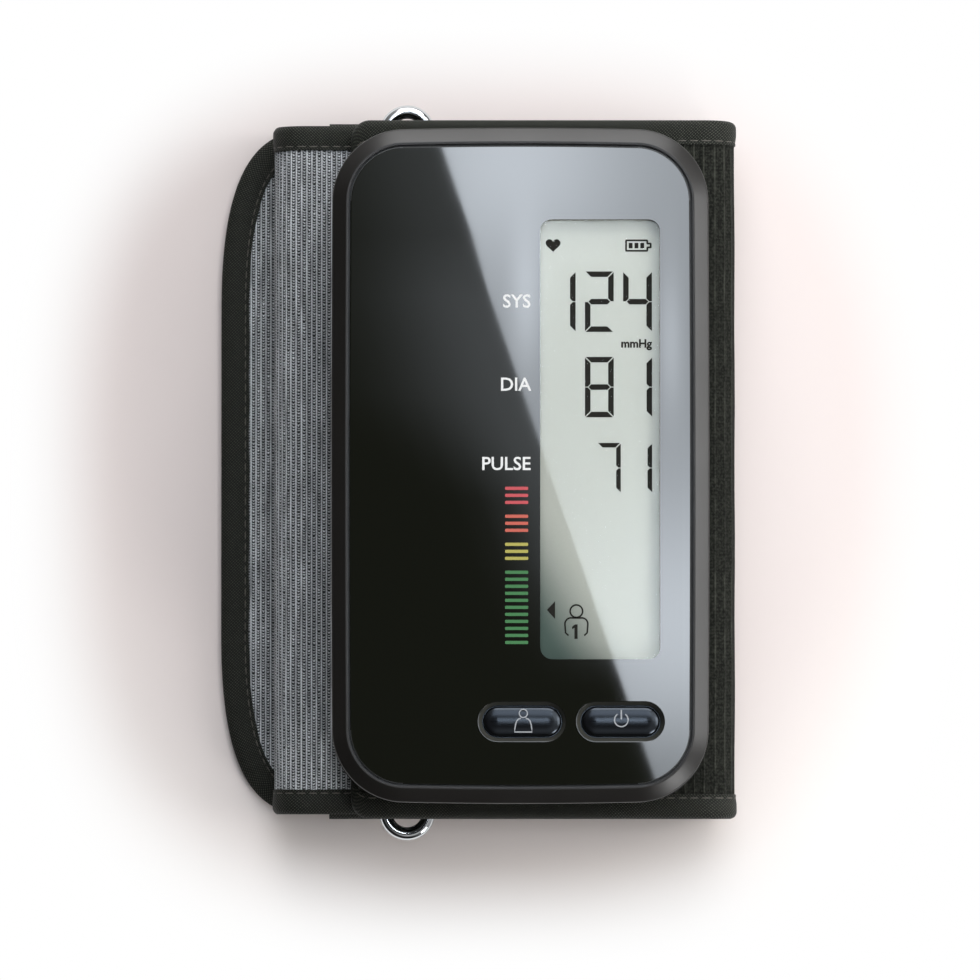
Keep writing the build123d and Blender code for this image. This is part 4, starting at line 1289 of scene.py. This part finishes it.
class MONITOR_OT_tongue(bpy.types.Operator):
    """The cuff's tongue: through the ring, folded to the left, under, and to its end"""

    bl_idname = "monitor.tongue"
    bl_label = "Tongue"

    def execute(self, context):
        split_x, middle_x = -34.0, 0.0
        cloths = [outer_cloth(), ribbed_lining()]
        tape_finish, thread_finish = twill_tape(), thread()
        first = POCKET_END - X_LEFT
        inner_run = X_BAR - X_LEFT
        root = travel((POCKET_END, Z_UNDER), 180,
                      [(first, 0.5), (RADIUS_INNER, -180, 0.4), (inner_run, 0.5),
                       (RADIUS_RING, 180, 0.4), (X_BAR - split_x, 0.3)])
        shown = travel((split_x, Z_TOP_LAYER), 180,
                       [(split_x - X_LEFT, 0.13), (RADIUS_LEFT, 180, 0.13),
                        (middle_x - X_LEFT, 0.5)])
        shown = (shown[0], shown[1], shown[2] + root[2][-1])
        straight_run = X_END - TIP_LEFT - TIP_LENGTH
        tip_run = TIP_LENGTH - CLOTH_IN
        under = travel((middle_x, Z_MIDDLE), 0,
                       [(X_END - middle_x, 0.5), (RADIUS_END, -180, 0.25),
                        (straight_run, 0.5), (tip_run, 0.13)])
        under = (under[0], under[1], under[2] + shown[2][-1])
        specs = (("tongue_inner", root, ("tongue_root_cloth", "tongue_root_lining"),
                  ("tongue_root_binding",)),
                 ("tongue_turn", shown, ("tongue_left_fold",), ()),
                 ("tongue_end", under,
                  ("tongue_middle_cloth", "tongue_middle_lining", "tongue_right_fold",
                   "tongue_end_cloth", "tongue_end_lining"),
                  ("tongue_middle_binding", "tongue_end_binding")))
        for name, path, nodes, bindings in specs:
            half = np.full(len(path[2]), HALF_TONGUE)
            if name == "tongue_end":
                lower = path[0][:, 1] < (Z_MIDDLE + Z_END) / 2
                narrow = np.minimum(np.interp(path[0][:, 0] - CLOTH_IN, *tip_curve().T),
                                    HALF_TONGUE)
                half = np.where(lower, narrow, half)
            piece = cloth_strip(name, path, TONGUE_HALF, half, cloths)
            if name == "tongue_end":
                keep = path[2] <= path[2][-1] - straight_run - tip_run + 3.0
                sides = tuple(values[keep] for values in path)
                hem, seam = end_hem(sides, tape_finish, thread_finish)
            else:
                hem, seam = bound(name, path, half, TONGUE_REACH, tape_finish, thread_finish)
            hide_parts(*nodes)
            if bindings:
                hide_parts(*bindings)
            for part in (piece, hem, seam):
                if name == "tongue_inner":
                    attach(part, "root")
                elif name == "tongue_turn":
                    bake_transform(part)
                else:
                    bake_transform(part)
        return {"FINISHED"}


def end_hem(path, tape_finish, thread_finish):
    """One tape round the tongue's end: along one side, the fold, the tip and back."""
    upper, lower = (edge_of(path, HALF_TONGUE, side)[:3] for side in (1, -1))
    tip = end_edge(Z_END, path[0][-1][0] - 0.5)
    edge, inward, up = (np.concatenate([out, round_tip, back[::-1]])
                        for out, round_tip, back in zip(upper, tip, lower))
    s = np.concatenate([[0], np.cumsum(np.linalg.norm(np.diff(edge, axis=0), axis=1))])
    flat, faces, marks = tape(edge, inward, up, s, TONGUE_REACH, END_WIDTH)
    hem = put_mesh("tongue_end_tape", flat, faces, [tape_finish], marks=marks,
                   sharp=60)
    points, thread_faces = stitching(edge, inward, up, s, TONGUE_REACH, END_WIDTH)
    seam = put_mesh("tongue_end_stitches", points, thread_faces, [thread_finish])
    return hem, seam


# ---------------------------------------------------------------- ring, webbing, hooks
class MONITOR_OT_ring(bpy.types.Operator):
    """The plated wire ring, and the webbing that holds it"""

    bl_idname = "monitor.ring"
    bl_label = "Ring"

    def execute(self, context):
        middle = (ring_low + ring_high) / 2
        wide = (ring_high[0] - ring_low[0]) / 2 - WIRE_RADIUS
        long = (ring_high[1] - ring_low[1]) / 2 - WIRE_RADIUS
        loop, normal = plan_loop(wide, long, wide * 0.999, middle[:2], 24, 40)
        a = np.linspace(0, 2 * np.pi, 25)[:-1]
        profile = np.stack([WIRE_RADIUS * np.cos(a), middle[2] + WIRE_RADIUS * np.sin(a)], axis=1)
        points, faces = band(loop, normal, profile, closed=True)
        faces = turned_out(points, faces)
        chrome = metal("chromed_steel", linear("#D5D7D9"), 0.08, 2.0)
        ring = put_mesh("wire_ring", points, faces, [chrome], "root", sharp=80)
        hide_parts("metal_ring")
        dress("ring_webbing", woven_webbing())
        return {"FINISHED"}


class MONITOR_OT_hooks(bpy.types.Operator):
    """The two hook patches that close the cuff"""

    bl_idname = "monitor.hooks"
    bl_label = "Hook patches"

    def execute(self, context):
        finish = hook_tape()
        for node in ("hook_patch_middle", "hook_patch_end"):
            dress(node, finish)
        return {"FINISHED"}


# ---------------------------------------------------------------- inside
class MONITOR_OT_works(bpy.types.Operator):
    """Finishes of the parts inside the housing and of the bladder"""

    bl_idname = "monitor.works"
    bl_label = "Inside"

    def execute(self, context):
        white = plain("white_pbt", linear("#E8E8E4"), 0.4)
        board = plain("glass_epoxy_board", linear("#1F5A35"), 0.35, 0.6)
        epoxy = plain("moulded_epoxy", linear("#1C1C1C"), 0.5, 0.2)
        steel = metal("bright_steel", linear("#B9BABC"), 0.3)
        nylon = plain("black_nylon", linear("#1D1D1D"), 0.45, 0.3)
        finishes = {
            "lcd_reflector": plain("reflector_film", linear("#DDE0DC"), 0.3),
            "display_holder": white,
            "contact_strips": plain("zebra_rubber", linear("#C9767F"), 0.6),
            "main_board": board,
            "board_chips": epoxy,
            "pressure_sensor": plain("sensor_lcp", linear("#33312E"), 0.45),
            "tact_switches": plain("switch_nylon", linear("#3A3A38"), 0.45),
            "charging_socket": metal("tinned_steel", linear("#A9ABAD"), 0.25),
            "housing_screws": metal("zinc_plated_steel", linear("#A7A8A4"), 0.35),
            "battery_cell": plain("pvc_sleeve", linear("#2B57A0"), 0.3, 0.8),
            "pump_motor": steel,
            "pump_head": white,
            "release_valve": plain("valve_pbt", linear("#26262A"), 0.4),
            "air_manifold": plain("grey_abs", linear("#8E8F90"), 0.4),
            "air_hoses": plain("silicone_hose", linear("#C9CCC9"), 0.5),
            "port_seal": plain("silicone_seal", linear("#B9624E"), 0.5),
            "air_port": plain("tpu_port", linear("#3B3C3D"), 0.5),
            "mounting_plate": nylon,
            "bladder": plain("tpu_film", linear("#6E7073"), 0.35, 1.5, 0.05),
        }
        for node, finish in finishes.items():
            dress(node, finish, smooth=True)
        return {"FINISHED"}


# ---------------------------------------------------------------- stage
VIEW_TILT = math.radians(88)
VIEW_AIM = (2.49, -4.67, TOP)
FLOOR_HALF = 3000.0
# in metres: the middle and the reach over which the floor's painted shade round the monitor fades
# to pale paper, and where the floor turns white
SHADE_FADE_MIDDLE, SHADE_FADE_REACH = (0.0010, 0.0170, 0.0), (0.074, 0.125)
WHITE_MIDDLE, WHITE_REACH = (0.0010, -0.0040), (0.076, 0.100)


def softbox(name, position, aim, size, radiance, tint):
    """Rectangular lamp turned to a point; its power is pi area radiance."""
    lamp = bpy.data.lights.new(name, "AREA")
    lamp.shape = "RECTANGLE"
    lamp.size, lamp.size_y = size
    lamp.energy = math.pi * size[0] * size[1] * radiance
    lamp.color = linear(tint)
    holder = bpy.data.objects.new(name, lamp)
    holder.location = position
    holder.rotation_euler = (Vector(aim) - Vector(position)).to_track_quat("-Z", "Y").to_euler()
    holder.visible_camera = False
    bpy.context.scene.collection.objects.link(holder)


CARD_ROWS, CARD_COLUMNS = 80, 120
CARD_HEIGHT = 2500.0        # over the face panel
# brighter and darker spots of the lit card: x and y on the panel, width, length and gain
CARD_SPOTS = ((-2.0, 64.0, 18.0, 18.0, 0.42), (34.0, -33.0, 20.0, 20.0, 0.42),
              (30.0, -68.0, 14.0, 14.0, -0.22), (1.2, 34.0, 2.3, 10.0, 0.30),
              (31.2, 26.0, 1.7, 11.0, 0.26))


def card_edge():
    """The lit card's left edge as places on the face panel: a slant, bent near its top."""
    y = np.linspace(110.0, -95.0, CARD_ROWS)
    bend = 0.8 * np.clip((y - 36.0) / 12.0, 0, 1)
    return np.stack([-17.0 + 0.342 * (66.0 - y) + bend, y], axis=1)


def mirrored(rows, eye, height):
    """Places on the face panel carried up to a height along their mirrored sight lines.

    A place goes to eye + (place - eye) (1 + height / eye height).
    """
    plan = eye[:2] + (rows - eye[:2]) * (1 + height / (eye[2] - TOP))
    return lifted(plan.reshape(-1, 2), TOP + height)


def reflector_card(eye):
    """A lit card over the monitor whose straight edge runs down the face panel's mirror."""
    edge = card_edge()
    t = (np.linspace(0, 1, CARD_COLUMNS) ** 1.5)[None, :, None]
    outer = np.stack([np.full(CARD_ROWS, 120.0), edge[:, 1]], axis=1)
    rows = edge[:, None] * (1 - t) + outer[:, None] * t
    level = np.full(rows.shape[:2], 0.48)
    for x, y, wide, tall, gain in CARD_SPOTS:
        level += gain * np.exp(-((rows[..., 0] - x) / wide) ** 2 / 2
                               - ((rows[..., 1] - y) / tall) ** 2 / 2)
    faces = [face[::-1] for face in grid(CARD_ROWS, CARD_COLUMNS)]
    return mirrored(rows, eye, CARD_HEIGHT), faces, np.dstack([rows, level]).reshape(-1, 3)


def dim_card(eye):
    """A faint continuation of the lit card to the left, fading over some 20 mm of panel."""
    edge = card_edge()
    run = np.linspace(0.05, 60.0, 12)[None, :]
    x = edge[:, :1] - run
    y = np.broadcast_to(edge[:, 1:], x.shape)
    upright = np.clip((y + 45) / 25, 0, 1) * np.clip((66 - y) / 32, 0.58, 1)
    reach = np.clip(20 + 0.45 * (y - 15), 10, 20)
    level = 0.082 * np.exp(-(run / reach) ** 2) * upright
    return (mirrored(np.dstack([x, y]), eye, CARD_HEIGHT + 5.0), grid(*x.shape),
            np.dstack([x, y, level]).reshape(-1, 3))


def paper_floor(tint):
    """Paper with painted shade round the monitor that pales away from it, and ends in plain white
    light of its own.
    """
    finish, tree = blank("paper_floor")
    offset = add(tree, "ShaderNodeVectorMath", {0: place(tree), 1: SHADE_FADE_MIDDLE},
                 operation="SUBTRACT").outputs[0]
    away = add(tree, "ShaderNodeVectorMath", {0: offset}, operation="LENGTH").outputs["Value"]
    # painted shade: the paper's tint is darker near the monitor than farther out
    far = ranged(tree, away, *SHADE_FADE_REACH, smooth=True)
    paper = add(tree, "ShaderNodeBsdfDiffuse",
                {"Color": blend_colours(tree, far, tint, linear("#FFF8F3"))})
    spot = add(tree, "ShaderNodeSeparateXYZ", {0: place(tree)}).outputs
    cubes = [calc(tree, "POWER",
                  calc(tree, "ABSOLUTE", calc(tree, "SUBTRACT", spot[axis], centre)), 3.0)
             for axis, centre in enumerate(WHITE_MIDDLE)]
    reach = calc(tree, "POWER", calc(tree, "ADD", *cubes), 1 / 3)
    ended = ranged(tree, reach, *WHITE_REACH, smooth=True)
    white = add(tree, "ShaderNodeEmission", {"Color": (1, 1, 1, 1), "Strength": 1.0})
    paper = add(tree, "ShaderNodeMixShader", {0: ended, 1: paper.outputs[0],
                                              2: white.outputs[0]})
    # light that the floor hands back to the monitor comes from a darker paper
    dim = add(tree, "ShaderNodeBsdfDiffuse", {"Color": (0.55, 0.54, 0.53, 1)})
    ray = add(tree, "ShaderNodeLightPath").outputs
    seen = calc(tree, "MAXIMUM", ray["Is Camera Ray"],
                calc(tree, "MAXIMUM", ray["Is Glossy Ray"], ray["Is Transmission Ray"]))
    mix = add(tree, "ShaderNodeMixShader", {0: seen, 1: dim.outputs[0], 2: paper.outputs[0]})
    add(tree, "ShaderNodeOutputMaterial", {"Surface": mix.outputs[0]})
    return finish


def soft_room(strength):
    """A room that is bright to the right and behind, and dim to the left and in front."""
    world = bpy.data.worlds.new("soft_room")
    world.use_nodes = True
    tree = world.node_tree
    tree.nodes.clear()
    way = add(tree, "ShaderNodeSeparateXYZ",
              {0: add(tree, "ShaderNodeTexCoord").outputs["Generated"]}).outputs
    roof = ranged(tree, way[2], 0.90, 0.975, 1.0, 0.02)
    sideways = calc(tree, "ADD", times(tree, way[0], 0.7), times(tree, way[1], 0.7))
    wall = ranged(tree, sideways, -0.5, 0.7, 0.025)
    upward = ranged(tree, way[2], 0.60, 0.85)
    rightward = ranged(tree, way[0], -0.35, 0.0, 0.2)
    wall = calc(tree, "MAXIMUM", wall, times(tree, upward, rightward))
    # a dark corner between the bright right and the bright back
    between = ranged(tree, calc(tree, "MINIMUM", way[0], way[1]), 0.15, 0.38, 1.0, 0.2)
    room = add(tree, "ShaderNodeBackground",
               {"Color": rgba(linear("#FFFFFF")),
                "Strength": times(tree, roof, times(tree, wall, between), strength)})
    add(tree, "ShaderNodeOutputWorld", {"Surface": room.outputs[0]})
    return world


# lamps in metres from the monitor: name, place, width and length, radiance and tint
LAMPS = (("right_light", (0.80, 0.0, 0.50), (0.45, 0.5), 4.1, "#FFFFFF"),
         ("back_light", (0.10, 0.80, 0.50), (0.8, 0.5), 4.4, "#FFFFFF"),
         ("corner_light", (0.50, -0.61, 0.46), (0.24, 0.22), 11.0, "#FFFFFF"),
         ("key_light", (0.88, 0.46, 1.05), (0.9, 0.9), 1.9, "#FFFFFF"),
         ("upper_light", (0.05, 0.60, 1.15), (0.9, 0.6), 2.2, "#E6EEFA"))
LAMP_AIM = (0, 0, 0.02)


class MONITOR_OT_stage(bpy.types.Operator):
    """Pale floor, soft light and the camera"""

    bl_idname = "monitor.stage"
    bl_label = "Stage"

    def execute(self, context):
        settings = studio()
        scene = context.scene
        back = np.array([0, -math.cos(VIEW_TILT), math.sin(VIEW_TILT)])
        eye = np.array(VIEW_AIM) * MM + settings.distance * back
        view = bpy.data.cameras.new("camera")
        view.lens = settings.lens
        view.sensor_width = 36.0
        view.clip_end = 20
        camera = bpy.data.objects.new("camera", view)
        camera.location = eye
        camera.rotation_euler = (math.radians(90) - VIEW_TILT, 0, 0)
        scene.collection.objects.link(camera)
        scene.camera = camera
        scene.view_settings.view_transform = "Standard"
        scene.cycles.caustics_reflective = False

        square = np.array([(-1, -1), (1, -1), (1, 1), (-1, 1)]) * FLOOR_HALF
        floor = put_mesh("floor", lifted(square, -0.02), [[0, 1, 2, 3]],
                         [paper_floor(settings.floor)])

        light = glow("card_light", linear("#E3EBF4"), 19.0)
        above = eye / MM - MIDDLE
        for name, (points, faces, marks) in (("reflector_card", reflector_card(above)),
                                             ("dim_card", dim_card(above))):
            sheet = put_mesh(name, points, faces, [light], marks=marks)
            sheet.visible_camera = False

        scene.world = soft_room(settings.dome)
        for name, position, size, radiance, tint in LAMPS:
            softbox(name, position, LAMP_AIM, size, radiance, tint)
        return {"FINISHED"}


# ---------------------------------------------------------------- panel and registration
PIECES = (MONITOR_OT_stage, MONITOR_OT_housing, MONITOR_OT_face, MONITOR_OT_display,
          MONITOR_OT_buttons, MONITOR_OT_pocket, MONITOR_OT_tongue, MONITOR_OT_ring,
          MONITOR_OT_hooks, MONITOR_OT_works)


class MONITOR_PT_pieces(bpy.types.Panel):
    """Lists the monitor's pieces and their settings"""

    bl_idname = "MONITOR_PT_pieces"
    bl_label = "Monitor"
    bl_space_type = "VIEW_3D"
    bl_region_type = "UI"
    bl_category = "Monitor"

    def draw(self, context):
        layout = self.layout
        for piece in PIECES:
            layout.operator(piece.bl_idname)
        for group in (case(), cuff(), studio()):
            box = layout.box()
            for name in group.__annotations__:
                box.prop(group, name)


GROUPS = {"monitor_case": CaseSettings, "monitor_cuff": CuffSettings,
          "monitor_stage": StageSettings}


def register():
    for item in (*GROUPS.values(), *PIECES, MONITOR_PT_pieces):
        bpy.utils.register_class(item)
    for name, group in GROUPS.items():
        setattr(bpy.types.Scene, name, bpy.props.PointerProperty(type=group))


def unregister():
    for name in GROUPS:
        delattr(bpy.types.Scene, name)
    for item in (MONITOR_PT_pieces, *PIECES[::-1], *GROUPS.values()):
        bpy.utils.unregister_class(item)


def main():
    register()
    for piece in PIECES:
        group, name = piece.bl_idname.split(".")
        getattr(getattr(bpy.ops, group), name)()


if __name__ == "__main__":
    main()
